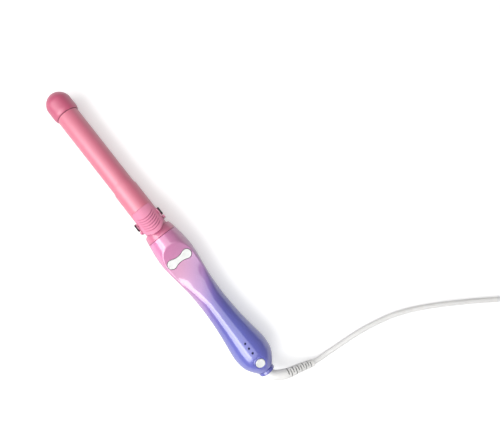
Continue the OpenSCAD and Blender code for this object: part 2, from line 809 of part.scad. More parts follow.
module shell_screws() {
    color("#9a9da1") on_axis() for (p = screw_at) both_sides() translate([p[0], p[1], 0]) {
        translate([0, 0, screw_seat_z]) cylinder(r = screw_r, h = 5 - screw_seat_z);
        translate([0, 0, screw_seat_z - 1.5]) cylinder(r = screw_head_r, h = 1.5);
    }
}

// Bearings, motor and brushes
module front_bush() {
    color("#d8c9a0") on_axis() tube_x(bush_r, shaft_r + running, handle_x + 0.2, handle_x + front_wall);
}

module rear_bush() {
    color("#d8c9a0") on_axis()
        tube_x(rear_bush_r, tail_journal_r + running, plate_x, plate_x + plate_t);
}

module motor_plate() {
    arm_y = 13.4;
    color("#55565a") on_axis() difference() {
        union() {
            intersection() {
                rod_x(plate_r, plate_x, plate_x + plate_t);
                box([plate_x - 1, -20, -20], [plate_x + 3, 20, plate_top]);
            }
            box([drum_x, -arm_y - 2, -3], [plate_x + 0.5, -arm_y, 3]);
        }
        rod_x(rear_bush_r, plate_x - 1, plate_x + plate_t + 1);
        translate([0, 0, -drive_drop]) {
            rod_x(motor_shaft_d / 2 + 0.5, plate_x - 1, plate_x + plate_t + 1);
            for (y = [-4.5, 4.5]) translate([0, y, 0]) rod_x(0.8, plate_x - 1, plate_x + plate_t + 1);
        }
    }
}

module motor_gearbox() {
    color("#c9b26a") on_axis() translate([0, 0, -drive_drop]) difference() {
        box([motor_x, -motor_w / 2, -motor_h / 2], [can_x, motor_w / 2, motor_h / 2]);
        for (y = [-4.5, 4.5]) translate([0, y, 0]) rod_x(0.8, motor_x - 1, motor_x + 4);
    }
}

module motor_can() {
    color("#bfc2c6") on_axis() translate([0, 0, -drive_drop]) {
        intersection() {
            rod_x(motor_w / 2, can_x, can_x + can_len);
            box([can_x, -motor_w, -motor_h / 2], [can_x + can_len, motor_w, motor_h / 2]);
        }
        rod_x(2.5, can_x + can_len - 0.5, can_x + can_len + 1.2);
    }
}

module motor_screws() {
    color("#9a9da1") on_axis() translate([0, 0, -drive_drop]) for (y = [-4.5, 4.5])
        translate([0, y, 0]) {
            rod_x(0.8, plate_x, motor_x + 3.5);
            rod_x(1.3, plate_x - 0.6, plate_x);
        }
}

module brush_block() {
    color("#2b2b2e") on_axis() difference() {
        box([drum_x + 0.3, -13.4, -3.5], [drum_x + drum_len - 0.3, -slip_r - 0.6, 3.5]);
        for (x = slip_at) box([x + 0.1, -12.4, -1.1], [x + slip_w - 0.1, 0, 1.1]);
    }
}

module brushes() {
    color("#3f3a36") on_axis() for (x = slip_at)
        box([x + 0.15, -12.3, -1.05], [x + slip_w - 0.15, -slip_r - 0.05, 1.05]);
}

// Rocker
module rocker_button() {
    block_y = 1.7;
    color("#f7f6f4") on_axis() at_rocker() difference() {
        union() {
            translate([0, 0, -rocker_under]) linear_extrude(rocker_under + rocker_proud) bone(0);
            box([-2.8, -block_y, -rocker_axle_z - 1.4], [2.8, block_y, -rocker_under + 0.2]);
            both_sides() translate([0, lobe_y, -2.9]) cylinder(r = 1.6, h = 1);
        }
        translate([0, 0, -rocker_axle_z]) rod_x(rocker_axle_r + fit, -4, 4);
    }
}

module rocker_axle() {
    color("#b9bcc0") on_axis() at_rocker() translate([0, 0, -rocker_axle_z])
        rod_x(rocker_axle_r, -5.8, 5.8);
}

module rocker_board() {
    color("#2f6b45") on_axis() at_rocker()
        box([-6.2, -14, -rocker_board_z - rocker_board_t], [6.4, 14, -rocker_board_z]);
}

module rocker_switches() {
    half = switch_w / 2;
    color("#3a3a3d") on_axis() at_rocker() both_sides() translate([0, lobe_y, -rocker_board_z]) {
        box([-half, -half, 0], [half, half, 1.9]);
        translate([0, 0, 1.8]) cylinder(r = 1.5, h = 0.7);
    }
}

// Boards
module main_board() {
    color("#2f6b45") on_axis() box([board_x, -board_w / 2, board_z - board_t],
        [board_x + board_len, board_w / 2, board_z]);
}

module board_parts() {
    color("#33373b") on_axis() translate([board_x, 0, board_z]) {
        box([4, -6, 0], [14, 6, 7]);
        box([0.3 * board_len, -4, 0], [0.42 * board_len, 4, 1.6]);
        box([0.5 * board_len, -5, 0], [0.56 * board_len, 5, 5]);
        translate([0, 0, 4.5]) rod_x(4.5, board_len - 21, board_len - 7);
    }
}

module status_board() {
    color("#2f6b45") on_axis()
        box([window_x - 12, -6, status_z - 1.2], [window_x + 12, 6, status_z]);
}

module status_leds() {
    color("#f2f1ea") on_axis() for (k = [-1:1]) translate([window_x + k * window_pitch, 0, status_z])
        box([-0.9, -0.7, 0], [0.9, 0.7, 0.9]);
}

module light_windows() {
    color("#141a4a") on_axis() for (k = [-1:1]) intersection() {
        translate([window_x + k * window_pitch, 0, status_z + 1.2]) cylinder(d = window_d, h = 12);
        handle_solid();
    }
}

// Power button
module power_button() {
    r = button_d / 2;
    color("#f7f6f4") on_axis() at_button() {
        rotate_extrude() polygon([[0, -4.2], [1.6, -4.2], [1.6, -3.4], [button_flange_r, -3.4],
            [button_flange_r, -2.5], [r, -2.5], [r, button_proud - 0.5], [r - 0.5, button_proud],
            [r - 1.5, button_proud], [r - 2.2, button_proud - 0.2], [0, button_proud - 0.3]]);
    }
}

module power_board() {
    color("#2f6b45") on_axis() at_button()
        box([-5.5, -9.8, -power_board_z - 1.2], [5.5, 9.8, -power_board_z]);
}

module power_switch() {
    half = switch_w / 2;
    color("#3a3a3d") on_axis() at_button() translate([0, 0, -power_board_z]) {
        box([-half, -half, 0], [half, half, 3.3]);
        translate([0, 0, 3.2]) cylinder(r = 1.7, h = 0.9);
    }
}

// Swivel
module swivel_collar() {
    r = flange_r;
    ring_x0 = tail_x + 0.9;
    color("#5a55ad") on_axis() difference() {
        union() {
            turned_x([[tail_x, r - 1.1], [ring_x0, r - 1.1], [ring_x0 + 0.1, r - 0.3], [ring_x0 + 0.4, r],
                [end_x - 1.3, r], [end_x - 0.5, r - 0.3], [end_x, r - 1.1]]);
            rod_x(sleeve_r, sleeve_x, tail_x + 1);
            rod_x(rib_r, rib_x, rib_x + rib_t);
        }
        rod_x(core_r + running, sleeve_x - 1, end_x + 1);
    }
}

module contact_block() {
    color("#2b2b2e") on_axis() box([tail_x - 12, -6, -8], [tail_x - 8.3, 6, 2]);
}

module swivel_core() {
    color("#f3f2ef") on_axis() {
        rod_x(core_r, core_x - 0.2, end_x);
        rod_x(core_flange_r, core_x - core_flange_t, core_x);
    }
}

module swivel_contacts() {
    x = core_x - core_flange_t;
    color("#c79a3a") on_axis() {
        rod_x(1, x - 0.5, x);
        tube_x(4.4, 3.2, x - 0.5, x);
    }
}

// Strain relief: a smooth elbow, then ten grip slots, then a small end ring
slot_count = 10;
slot_pitch = 3.2;
relief_smooth = smooth(relief_route, 8);
function run_to(p, i) = i == 0 ? 0 : run_to(p, i - 1) + norm(p[i] - p[i - 1]);
relief_len = run_to(relief_smooth, len(relief_smooth) - 1);
ribbed_from = relief_len - slot_count * slot_pitch - 2.4;

// The point at a distance along the relief
function along(p, d, i = 0) =
    let (step = norm(p[i + 1] - p[i]))
    d <= step || i >= len(p) - 2 ? p[i] + (p[i + 1] - p[i]) * d / step : along(p, d - step, i + 1);

relief_rings = concat(
    [[0, core_r], [0.3, core_r], [0.6, core_r], [1.2, core_r]],
    [for (k = [1:8]) [ribbed_from * k / 8, core_r]],
    [for (k = [0:slot_count - 1]) let (d = ribbed_from + k * slot_pitch,
            full = mix(5.5, 4.05, k / slot_count), low = full - 1.1)
        each [[d + 0.3, low], [d + 1.1, low], [d + 1.3, full], [d + 2.7, full]]],
    [[relief_len - 2.2, 3.5], [relief_len - 1.8, 4.2], [relief_len, 4.2]]);

// The first rings stand square to the iron's axis, so that the relief meets its core flat
module strain_relief() {
    color("#f3f2ef") swept([for (q = relief_rings)
            q[0] < 0.5 ? [end_x + q[0], 0, axis_z] : along(relief_smooth, q[0])],
        [for (q = relief_rings) q[1]], 12);
}

module cord_run() {
    color("#f3f2ef") tube_along(run_route, cord_r, 8);
}

// The coil spirals in and out, and climbs a layer in each half turn where it turns round
function coil_radius(turn) =
    let (pass = floor(turn / layer_turns), share = turn - pass * layer_turns)
    pass % 2 == 0 ? coil_out_r - share * coil_pitch : coil_in_r + share * coil_pitch;
function climb(t) = t <= 0 ? 0 : t >= 1 ? 1 : t * t * (3 - 2 * t);
function coil_height(turn) = coil_z + coil_rise
    * (climb(2 * (turn - layer_turns) + 0.5) + climb(2 * (turn - 2 * layer_turns) + 0.5)
        + climb(2 * (turn - 3 * layer_turns) + 0.5));
coil_turns = coil_layers * layer_turns;
coil_steps = round(24 * coil_turns);
function coil_point(k) =
    let (turn = coil_turns * k / coil_steps, r = coil_radius(min(turn, coil_turns - 0.0001)),
        a = coil_heading - 90 + 360 * turn)
    [coil_centre[0] + r * cos(a), coil_centre[1] + r * sin(a), coil_height(turn)];
coil_line = [for (k = [0:coil_steps]) coil_point(k)];
coil_reach = min([for (i = [0:coil_steps - 12]) for (j = [i + 12:coil_steps])
    norm(coil_line[i] - coil_line[j])]);
echo(least_gap_in_coil = coil_reach - cord_d);
echo(cord_length = run_to(run_route, len(run_route) - 1) + run_to(coil_line, coil_steps)
    + run_to(tail_route, len(tail_route) - 1));

module cord_coil() {
    color("#f3f2ef") tube_along(coil_line, cord_r, 6);
}

module cord_tail() {
    color("#f3f2ef") tube_along(tail_route, cord_r, 8);
}

module cord_tie() {
    inner = coil_in_r - cord_r - 0.5;
    outer = coil_out_r + cord_r + 0.5;
    top = coil_z + (coil_layers - 1) * coil_rise + cord_r + 0.4;
    color("#2b2b2e") translate([coil_centre[0], coil_centre[1], 0]) rotate([0, 0, 150]) difference() {
        box([inner - tie_t, -6, 0], [outer + tie_t, 6, top + tie_t]);
        box([inner, -7, tie_t], [outer, 7, top]);
    }
}

// Plug with two flat blades
module at_plug() {
    translate(plug_at) rotate([0, 0, 180]) children();
}

module plug_body() {
    color("#f3f2ef") at_plug() {
        rod_x(cord_r + 1.4, 0, nose_len + 1);
        intersection() {
            translate([nose_len, 0, -plug_h / 2]) linear_extrude(plug_h) polygon([[0, -7.5], [6, -10.5],
                [14, -plug_w / 2], [plug_len - 1.5, -plug_w / 2], [plug_len, -plug_w / 2 + 1.5],
                [plug_len, plug_w / 2 - 1.5], [plug_len - 1.5, plug_w / 2], [14, plug_w / 2],
                [6, 10.5], [0, 7.5]]);
            translate([nose_len, plug_w, 0]) rotate([90, 0, 0]) linear_extrude(2 * plug_w) polygon([
                [0, -6], [7, -plug_h / 2], [plug_len - 1, -plug_h / 2], [plug_len, -plug_h / 2 + 1],
                [plug_len, plug_h / 2 - 1], [plug_len - 1, plug_h / 2], [7, plug_h / 2], [0, 6]]);
        }
    }
}

module plug_blades() {
    x = nose_len + plug_len;
    color("#c4c7ca") at_plug() for (blade = [[-6.35, 6.3], [6.35, 7.9]])
        translate([0, blade[0], 0]) box([x, -0.75, -blade[1] / 2], [x + blade_len, 0.75, blade[1] / 2]);
}

tip_cap();
tip_seal();
barrel_tube();
heater_shoes();
heater_plate();
heater_leads();
temperature_sensor();
collar();
clip_pins();
pin_heads();
clip_spring();
rotor_shaft();
rotor_screws();
retaining_ring();
slip_drum();
slip_rings();
drive_gear();
clip_spoon();
thumb_lever();
lever_rivets();
front_shell();
back_shell();
front_bush();
rear_bush();
motor_plate();
motor_gearbox();
motor_can();
motor_screws();
brush_block();
brushes();
motor_shaft();
pinion();
rocker_button();
rocker_axle();
rocker_board();
rocker_switches();
main_board();
board_parts();
status_board();
status_leds();
light_windows();
power_button();
power_board();
power_switch();
shell_screws();
swivel_collar();
contact_block();
swivel_core();
swivel_contacts();
strain_relief();
cord_run();
cord_coil();
cord_tail();
cord_tie();
plug_body();
plug_blades();
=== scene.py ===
"""Looks of a rotating curling iron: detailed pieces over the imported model, a plain studio, a camera."""
import json
import math

import bmesh
import bpy
import numpy as np
from mathutils import Matrix, Vector
from mathutils.kdtree import KDTree


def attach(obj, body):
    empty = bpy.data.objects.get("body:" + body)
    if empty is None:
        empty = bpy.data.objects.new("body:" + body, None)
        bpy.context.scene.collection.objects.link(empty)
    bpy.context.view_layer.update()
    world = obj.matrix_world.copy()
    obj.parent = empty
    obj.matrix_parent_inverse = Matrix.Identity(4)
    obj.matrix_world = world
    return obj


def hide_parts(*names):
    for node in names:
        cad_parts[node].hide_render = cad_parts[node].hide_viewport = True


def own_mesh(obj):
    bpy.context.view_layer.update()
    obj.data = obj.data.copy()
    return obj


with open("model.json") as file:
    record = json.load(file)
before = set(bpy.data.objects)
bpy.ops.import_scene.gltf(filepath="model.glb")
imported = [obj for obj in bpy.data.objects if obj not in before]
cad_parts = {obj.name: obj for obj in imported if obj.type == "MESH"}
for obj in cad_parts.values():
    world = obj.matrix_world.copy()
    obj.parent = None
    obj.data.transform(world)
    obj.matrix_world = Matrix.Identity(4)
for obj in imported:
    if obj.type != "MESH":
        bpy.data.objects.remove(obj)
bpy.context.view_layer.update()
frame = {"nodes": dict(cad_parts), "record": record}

# Sizes in millimetres, in the part's frame. Most pieces are drawn about the iron's own axis,
# which lies AXIS above the surface, and are lifted there when they are built.
MM = 0.001
AXIS = 19.6
# Along the iron: tip, rear of the cap, collar and seam, then the handle and the end of its flange
TIP, CAP, COLLAR, SEAM = -189.15, -161.15, -4.75, 4.25
HANDLE, TAIL, END = 4.55, 184.55, 189.15
BARREL, BARREL_END, BARREL_R, BARREL_IN, CAP_R = CAP + 0.5, -9.15, 12.7, 11.5, 14.5
# Thumb lever, hinge pins with the ears and eyes on them, and the spring's seat
LEVER, LEVER_REAR, LEVER_TOP = -32.25, -1.25, 15.5
PIN_X, PIN_Z = -18.05, 10.0
EAR_R, EAR_IN, EAR_OUT, EYE_R = 4.8, 13.4, 14.3, 3.6
SPRING_X, SPRING_SEAT = -8.75, 14.2
# Scoop under the thumb with the rocker in it, power button, light windows and rear screws
SCOOP_X, SCOOP_FLOOR, SCOOP_R, SCOOP_REAR_R = 48.25, 9.2, 54.0, 120.0
ROCKER_X, ROCKER_Z, ROCKER_TILT = 35.05, 10.8382, math.radians(14.149)
BUTTON_X, BUTTON_Z, BUTTON_TILT = 172.15, 15.9, math.radians(20)
WINDOWS = [145.85, 151.95, 158.05]
SCREWS = [(58.25, 10.5), (58.25, -10.5), (138.25, 10.5), (138.25, -10.5)]

# What takes Z to along the iron and to its side, and the places of the two tilted buttons
ALONG_X = Matrix.Rotation(math.pi / 2, 4, "Y")
TO_SIDE = Matrix(((1, 0, 0, 0), (0, 0, 1, 0), (0, 1, 0, 0), (0, 0, 0, 1)))
AT_ROCKER = Matrix.Translation((ROCKER_X, 0, ROCKER_Z)) @ Matrix.Rotation(ROCKER_TILT, 4, "Y")
AT_BUTTON = Matrix.Translation((BUTTON_X, 0, BUTTON_Z)) @ Matrix.Rotation(BUTTON_TILT, 4, "Y")


# Shapes: each is a bmesh in millimetres, a closed shell or several. Points closer than
# this are one point, in a shape and in a whole piece.
NEAR, JOIN = 1e-5, 2e-4


def moved(shape, matrix):
    """A copy of a shape, taken to a new place."""
    copy = shape.copy()
    bmesh.ops.transform(copy, matrix=matrix, verts=copy.verts)
    return copy


def mirrored(shape):
    """A copy of a shape on the other side of the iron."""
    return moved(shape, Matrix.Diagonal((1, -1, 1, 1)))


def build(name, shapes, lift=AXIS):
    """An object from shapes, in metres, with its doubles merged and its faces turned outward."""
    made = bmesh.new()
    for shape in shapes:
        stored = bpy.data.meshes.new("shape")
        shape.to_mesh(stored)
        made.from_mesh(stored)
        bpy.data.meshes.remove(stored)
    to_metres = Matrix.Scale(MM, 4) @ Matrix.Translation((0, 0, lift))
    bmesh.ops.transform(made, matrix=to_metres, verts=made.verts)
    bmesh.ops.remove_doubles(made, verts=made.verts, dist=JOIN * MM)
    bmesh.ops.recalc_face_normals(made, faces=made.faces)
    mesh = bpy.data.meshes.new(name)
    made.to_mesh(mesh)
    made.free()
    piece = bpy.data.objects.new(name, mesh)
    bpy.context.scene.collection.objects.link(piece)
    return piece


def carve(piece, cutters):
    """Takes closed cutters out of a closed piece."""
    for n, cutter in enumerate(cutters):
        cut = piece.modifiers.new(f"cut_{n}", "BOOLEAN")
        cut.operation = "DIFFERENCE"
        cut.solver = "MANIFOLD"
        cut.object = cutter
    view = bpy.context.evaluated_depsgraph_get()
    mesh = bpy.data.meshes.new_from_object(piece.evaluated_get(view))
    piece.modifiers.clear()
    piece.data = mesh
    for cutter in cutters:
        bpy.data.objects.remove(cutter)
    return piece


def dress(piece, body, material, nodes=(), sharp=32):
    """Smooth shading with crisp edges, a material, and the body that the piece rides on."""
    mesh = piece.data
    made = bmesh.new()
    made.from_mesh(mesh)
    for face in made.faces:
        face.smooth = True
    for edge in made.edges:
        edge.smooth = len(edge.link_faces) == 2 and edge.calc_face_angle(0) < math.radians(sharp)
    made.to_mesh(mesh)
    made.free()
    mesh.materials.clear()
    mesh.materials.append(material)
    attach(piece, body)
    if nodes:
        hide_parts(*nodes)
    return piece


def mark(piece, name, places, shares, lift=AXIS):
    """Writes a number on each point of a piece, from the nearest of some places in millimetres."""
    near = KDTree(len(places))
    for i, place in enumerate(places):
        near.insert(place, i)
    near.balance()
    mesh = piece.data
    layer = mesh.attributes.new(name, "FLOAT", "POINT")
    for vertex, value in zip(mesh.vertices, layer.data):
        value.value = float(shares[near.find(vertex.co / MM - Vector((0, 0, lift)))[1]])


def mark_faces(piece, name, share_at):
    """Writes a number on each face of a piece, from a function of its middle in millimetres."""
    mesh = piece.data
    middles = np.array([face.center for face in mesh.polygons]) / MM - (0, 0, AXIS)
    layer = mesh.attributes.new(name, "FLOAT", "FACE")
    layer.data.foreach_set("value", np.asarray(share_at(middles), np.float32))


def fillet(points, closed=False, steps=5):
    """A line of (a, b, radius) corners with each corner rounded."""
    out, count = [], len(points)
    for i, (a, b, r) in enumerate(points):
        here = np.array((a, b), float)
        if r <= 0 or (not closed and i in (0, count - 1)):
            out.append(tuple(here))
            continue
        before = np.array(points[i - 1][:2], float) - here
        after = np.array(points[(i + 1) % count][:2], float) - here
        u, v = before / np.linalg.norm(before), after / np.linalg.norm(after)
        half = 0.5 * math.acos(max(-1.0, min(1.0, float(u @ v))))
        middle = here + (u + v) / np.linalg.norm(u + v) * r / math.sin(half)
        start, end = here + u * r / math.tan(half), here + v * r / math.tan(half)
        first = math.atan2(*(start - middle)[::-1])
        turn = (math.atan2(*(end - middle)[::-1]) - first + math.pi) % (2 * math.pi) - math.pi
        for k in range(steps + 1):
            angle = first + turn * k / steps
            out.append((middle[0] + r * math.cos(angle), middle[1] + r * math.sin(angle)))
    return out


def lathe(line, steps=128, loop=False):
    """Turns (along, radius) points about Z. A loop makes a ring, else the line ends on the axis."""
    made = bmesh.new()
    verts = [made.verts.new((r, 0, along)) for along, r in line]
    edges = [made.edges.new(pair) for pair in zip(verts, verts[1:] + verts[:1] if loop else verts[1:])]
    bmesh.ops.spin(made, geom=verts + edges, cent=(0, 0, 0), axis=(0, 0, 1), angle=2 * math.pi, steps=steps,
                   use_merge=True)
    bmesh.ops.remove_doubles(made, verts=made.verts, dist=NEAR)
    return made


def loft(rings):
    """A flat grid rolled up, with its rows laid on closed rings and its open ends filled."""
    made = bmesh.new()
    count = len(rings[0])
    bmesh.ops.create_grid(made, x_segments=count, y_segments=len(rings) - 1, size=1)
    places = [ring[k % count] for ring in rings for k in range(count + 1)]
    for vertex, place in zip(made.verts, places):
        vertex.co = place
    bmesh.ops.remove_doubles(made, verts=made.verts, dist=NEAR)
    bmesh.ops.holes_fill(made, edges=[edge for edge in made.edges if edge.is_boundary], sides=0)
    return made


def inset(outline, by):
    """A closed outline drawn in by a small distance. It runs counter-clockwise."""
    p = np.asarray(outline, float)
    along = np.roll(p, -1, 0) - p
    along /= np.linalg.norm(along, axis=1)[:, None]
    inward = np.stack([-along[:, 1], along[:, 0]], 1)
    before = np.roll(inward, 1, 0)
    mean = inward + before
    mean /= np.maximum(1e-9, (mean * inward).sum(1))[:, None]
    return p + by * mean


def plate(outline, low, high, edge=0.3, steps=3):
    """A plate of an outline with rounded edges, from low to high along Z."""
    rings = []
    for k in range(steps + 1):
        a = math.pi / 2 * k / steps
        flat = inset(outline, edge * (1 - math.sin(a)))
        rings.append(np.c_[flat, np.full(len(flat), low + edge * (1 - math.cos(a)))])
    for k in range(steps + 1):
        a = math.pi / 2 * (1 - k / steps)
        flat = inset(outline, edge * (1 - math.sin(a)))
        rings.append(np.c_[flat, np.full(len(flat), high - edge * (1 - math.cos(a)))])
    return loft(rings)


def slab(top, under):
    """A flat grid extruded to a second side, with one side laid on top and the other under it."""
    made = bmesh.new()
    rows, cols = top.shape[:2]
    bmesh.ops.create_grid(made, x_segments=cols - 1, y_segments=rows - 1, size=1)
    number = made.verts.layers.int.new("number")
    for i, vertex in enumerate(made.verts):
        vertex[number] = i
        vertex.co = under[divmod(i, cols)]
    everything = made.verts[:] + made.edges[:] + made.faces[:]
    for part in bmesh.ops.extrude_face_region(made, geom=everything, use_keep_orig=True)["geom"]:
        if isinstance(part, bmesh.types.BMVert):
            part.co = top[divmod(part[number], cols)]
    made.verts.layers.int.remove(number)
    return made


def smooth_line(points, steps):
    """A smooth line through points, with steps from each to the next."""
    p = np.asarray(points, float)
    out = []
    for i in range(len(p) - 1):
        a, b, c, d = p[max(i - 1, 0)], p[i], p[i + 1], p[min(i + 2, len(p) - 1)]
        for k in range(steps):
            t = k / steps
            out.append(0.5 * (2 * b + (c - a) * t + (2 * a - 5 * b + 4 * c - d) * t * t
                              + (3 * b - a - 3 * c + d) * t ** 3))
    return np.array(out + [p[-1]])


def spaced(line, gap):
    """The same line with points an even distance apart."""
    run = np.r_[0, np.cumsum(np.linalg.norm(np.diff(line, axis=0), axis=1))]
    at = np.linspace(0, run[-1], max(2, int(round(run[-1] / gap)) + 1))
    return np.stack([np.interp(at, run, line[:, k]) for k in range(line.shape[1])], 1)


def smooth_step(share):
    """Eases from 0 to 1, for a number or for an array."""
    share = np.clip(share, 0, 1)
    return share * share * (3 - 2 * share)


def headings(line):
    """The direction of a line at each of its points."""
    ahead = np.gradient(line, axis=0)
    return ahead / np.linalg.norm(ahead, axis=1)[:, None]


def swept(line, radius, sides=20):
    """A round tube along a line, with flat ends."""
    ahead = headings(line)
    across = np.cross(ahead[0], (0, 0, 1.0))
    rings = []
    angles = np.arange(sides) * 2 * math.pi / sides
    for place, way in zip(line, ahead):
        across = across - way * (across @ way)
        across /= np.linalg.norm(across)
        over = np.cross(across, way)
        rings.append(place + radius * (np.cos(angles)[:, None] * across + np.sin(angles)[:, None] * over))
    return loft(rings)


def box(low, high, edge=0.2):
    """A block between two corners, with its edges rounded."""
    x0, y0, z0 = low
    x1, y1, z1 = high
    outline = fillet([(x0, y0, edge), (x1, y0, edge), (x1, y1, edge), (x0, y1, edge)], True, 3)
    return plate(outline, z0, z1, edge)


def rolled(edge, r):
    """How far a face drops at a distance from its edge, where the edge is rounded by r."""
    e = np.clip(edge, 0, r)
    return r - np.sqrt(np.maximum(r * r - (r - e) ** 2, 0))


def turned(name, line, body, material, nodes=(), steps=160, loop=False):
    """A piece that is round about the iron's own axis."""
    shape = moved(lathe(line, steps, loop), ALONG_X)
    return dress(build(name, [shape]), body, material, nodes)


# Materials: what each surface is made of and how it was finished
def linear(code):
    """A colour written as six hexadecimal digits, as the shader wants it."""
    parts = [int(code[i:i + 2], 16) / 255 for i in (1, 3, 5)]
    return [c / 12.92 if c <= 0.04045 else ((c + 0.055) / 1.055) ** 2.4 for c in parts] + [1.0]


def set_inputs(tree, node, **inputs):
    """Sets inputs of a node, each to a value or to a pair of a node and its output."""
    for key, value in inputs.items():
        socket = node.inputs[int(key[1:])] if key[0] == "_" else node.inputs[key.replace("_", " ")]
        if isinstance(value, tuple) and isinstance(value[0], bpy.types.Node):
            tree.links.new(value[0].outputs[value[1]], socket)
        else:
            socket.default_value = value


def add(tree, kind, settings=None, **inputs):
    """Adds a node with its settings and inputs. An input _0 is the first by number."""
    made = tree.nodes.new(kind)
    for key, value in (settings or {}).items():
        setattr(made, key, value)
    set_inputs(tree, made, **inputs)
    return made


def new_material(name):
    """A material with its node tree, its shader and the place on the piece, in metres."""
    material = bpy.data.materials.new(name)
    material.use_nodes = True
    tree = material.node_tree
    shader = tree.nodes["Principled BSDF"]
    place = add(tree, "ShaderNodeTexCoord")
    return material, tree, shader, place


def surface(name, colour, other, rough, bump, size, metal=0.0, coat=0.0, coat_rough=0.05, sheen=0.0,
            spread=0.06, patch=9.0, specular=0.5, ior=1.5, coat_ior=1.5, sheen_rough=0.5,
            marked=None):
    """A finish with slow drift in its colour, fine grain in its gloss, and grain in its height.
    What is marked has the name of a number on the mesh, and the colour where that number is 1."""
    material, tree, shader, place = new_material(name)
    drift = add(tree, "ShaderNodeTexNoise", Vector=(place, "Object"), Scale=1000 / patch, Detail=2.0,
                Roughness=0.5)
    fine = add(tree, "ShaderNodeTexNoise", Vector=(place, "Object"), Scale=1000 / size, Detail=4.0,
               Roughness=0.6)
    share = add(tree, "ShaderNodeMapRange", Value=(drift, "Fac"), From_Min=0.3, From_Max=0.7,
                To_Min=0.0, To_Max=1.0)
    mixed = add(tree, "ShaderNodeMix", {"data_type": "RGBA"}, _0=(share, "Result"), _6=linear(colour),
                _7=linear(other))
    if marked:
        number = add(tree, "ShaderNodeAttribute", {"attribute_name": marked[0]})
        mixed = add(tree, "ShaderNodeMix", {"data_type": "RGBA"}, _0=(number, "Fac"), _6=(mixed, 2),
                    _7=linear(marked[1]))
    gloss = add(tree, "ShaderNodeMapRange", Value=(fine, "Fac"), From_Min=0.3, From_Max=0.7,
                To_Min=rough - spread, To_Max=rough + spread)
    relief = add(tree, "ShaderNodeBump", Height=(fine, "Fac"), Strength=0.6, Distance=bump * MM)
    set_inputs(tree, shader, Base_Color=(mixed, 2), Roughness=(gloss, "Result"),
               Normal=(relief, "Normal"), Metallic=metal, Coat_Weight=coat, Coat_Roughness=coat_rough,
               Coat_IOR=coat_ior, Sheen_Weight=sheen, Sheen_Roughness=sheen_rough,
               Specular_IOR_Level=specular, IOR=ior)
    return material


def faded_paint(name):
    """Sprayed paint under a clear coat, pink at the seam and violet-blue at the cord. Inside the
    shells and in their holes, where the mesh is marked, the moulding is unpainted and drawn near
    black; in the holes' walls this dark is also painted shade."""
    material, tree, shader, place = new_material(name)
    spot = add(tree, "ShaderNodeSeparateXYZ", Vector=(place, "Object"))
    wander = add(tree, "ShaderNodeTexNoise", Vector=(place, "Object"), Scale=1000 / 40, Detail=2.0,
                 Roughness=0.5)
    # Painted shade in part: the fade runs on sooner toward +Y, the side away from the lamps
    slant = add(tree, "ShaderNodeMath", {"operation": "MULTIPLY_ADD"}, _0=(spot, "Y"), _1=FADE_SLANT,
                _2=(spot, "X"))
    drift = add(tree, "ShaderNodeMath", {"operation": "MULTIPLY_ADD"}, _0=(wander, "Fac"),
                _1=FADE_WANDER * MM, _2=(slant, 0))
    share = add(tree, "ShaderNodeMapRange", Value=(drift, 0), From_Min=FADE_FROM * MM,
                From_Max=FADE_TO * MM, To_Min=0.0, To_Max=1.0)
    colours = add(tree, "ShaderNodeValToRGB", Fac=(share, "Result"))
    stops = colours.color_ramp.elements
    stops[0].position, stops[0].color = FADE[0][0], linear(FADE[0][1])
    stops[1].position, stops[1].color = FADE[-1][0], linear(FADE[-1][1])
    for at, code in FADE[1:-1]:
        stops.new(at).color = linear(code)
    flake = add(tree, "ShaderNodeTexVoronoi", Vector=(place, "Object"), Scale=1000 / FLAKE)
    sparkle = add(tree, "ShaderNodeMapRange", Value=(flake, "Color"), From_Min=0.0, From_Max=1.0,
                  To_Min=0.93, To_Max=1.05)
    mixed = add(tree, "ShaderNodeMix", {"data_type": "RGBA", "blend_type": "MULTIPLY"}, _0=1.0,
                _6=(colours, "Color"), _7=(sparkle, "Result"))
    # Near-black unpainted moulding inside the shells and in their holes, which on the holes' walls is painted
    # shade too
    bare_and_shade = add(tree, "ShaderNodeAttribute", {"attribute_name": "bare_and_shade"})
    shown = add(tree, "ShaderNodeMix", {"data_type": "RGBA"}, _0=(bare_and_shade, "Fac"), _6=(mixed, 2),
                _7=linear("#332B38"))
    coat = add(tree, "ShaderNodeMapRange", Value=(bare_and_shade, "Fac"), From_Min=0.0, From_Max=1.0,
               To_Min=1.0, To_Max=0.0)
    gloss = add(tree, "ShaderNodeMapRange", Value=(flake, "Distance"), From_Min=0.0, From_Max=0.6,
                To_Min=0.34, To_Max=0.46)
    peel = add(tree, "ShaderNodeTexNoise", Vector=(place, "Object"), Scale=1000 / PEEL, Detail=2.0,
               Roughness=0.5)
    relief = add(tree, "ShaderNodeBump", Height=(peel, "Fac"), Strength=0.25, Distance=0.004 * MM)
    set_inputs(tree, shader, Base_Color=(shown, 2), Coat_Weight=(coat, "Result"),
               Roughness=(gloss, "Result"), Coat_Normal=(relief, "Normal"), Metallic=0.0,
               Specular_IOR_Level=0.4, Coat_Roughness=0.13, Coat_IOR=2.15)
    return material


# The fade along the handle in millimetres, from its seam to its cord end, its slant to one side and
# how far it wanders. The slant makes the side away from the lamps turn violet-blue sooner: partly the
# spray's own slant, partly painted shade. Its colours are the paint's own, at shares of the way.
FADE_FROM, FADE_TO, FADE_SLANT, FADE_WANDER = 5.0, 191.0, 1.05, 6.0
FADE = [(0.0, "#E485BA"), (0.2, "#CB83B2"), (0.38, "#B283C4"), (0.48, "#7A66C0"), (0.585, "#5E5CBB"),
        (0.72, "#5F64C6"), (1.0, "#6063C6")]
# Pearl flakes are some 0.05 mm across, too fine to show, and are drawn at 0.35 mm. The clear coat's
# faint waves have their real size.
FLAKE, PEEL = 0.35, 2.2

# Grain sizes below are in millimetres too. Sprayed, moulded and machined surfaces are rough at some
# hundredths of a millimetre, too fine to show, so their grain is drawn at 0.15 to 0.6 mm.

# Sprayed paint that fades along the handle, under a hard clear coat: a deep gloss with sharp lights
ombre_paint = faded_paint("clear_coated_fading_spray_paint")
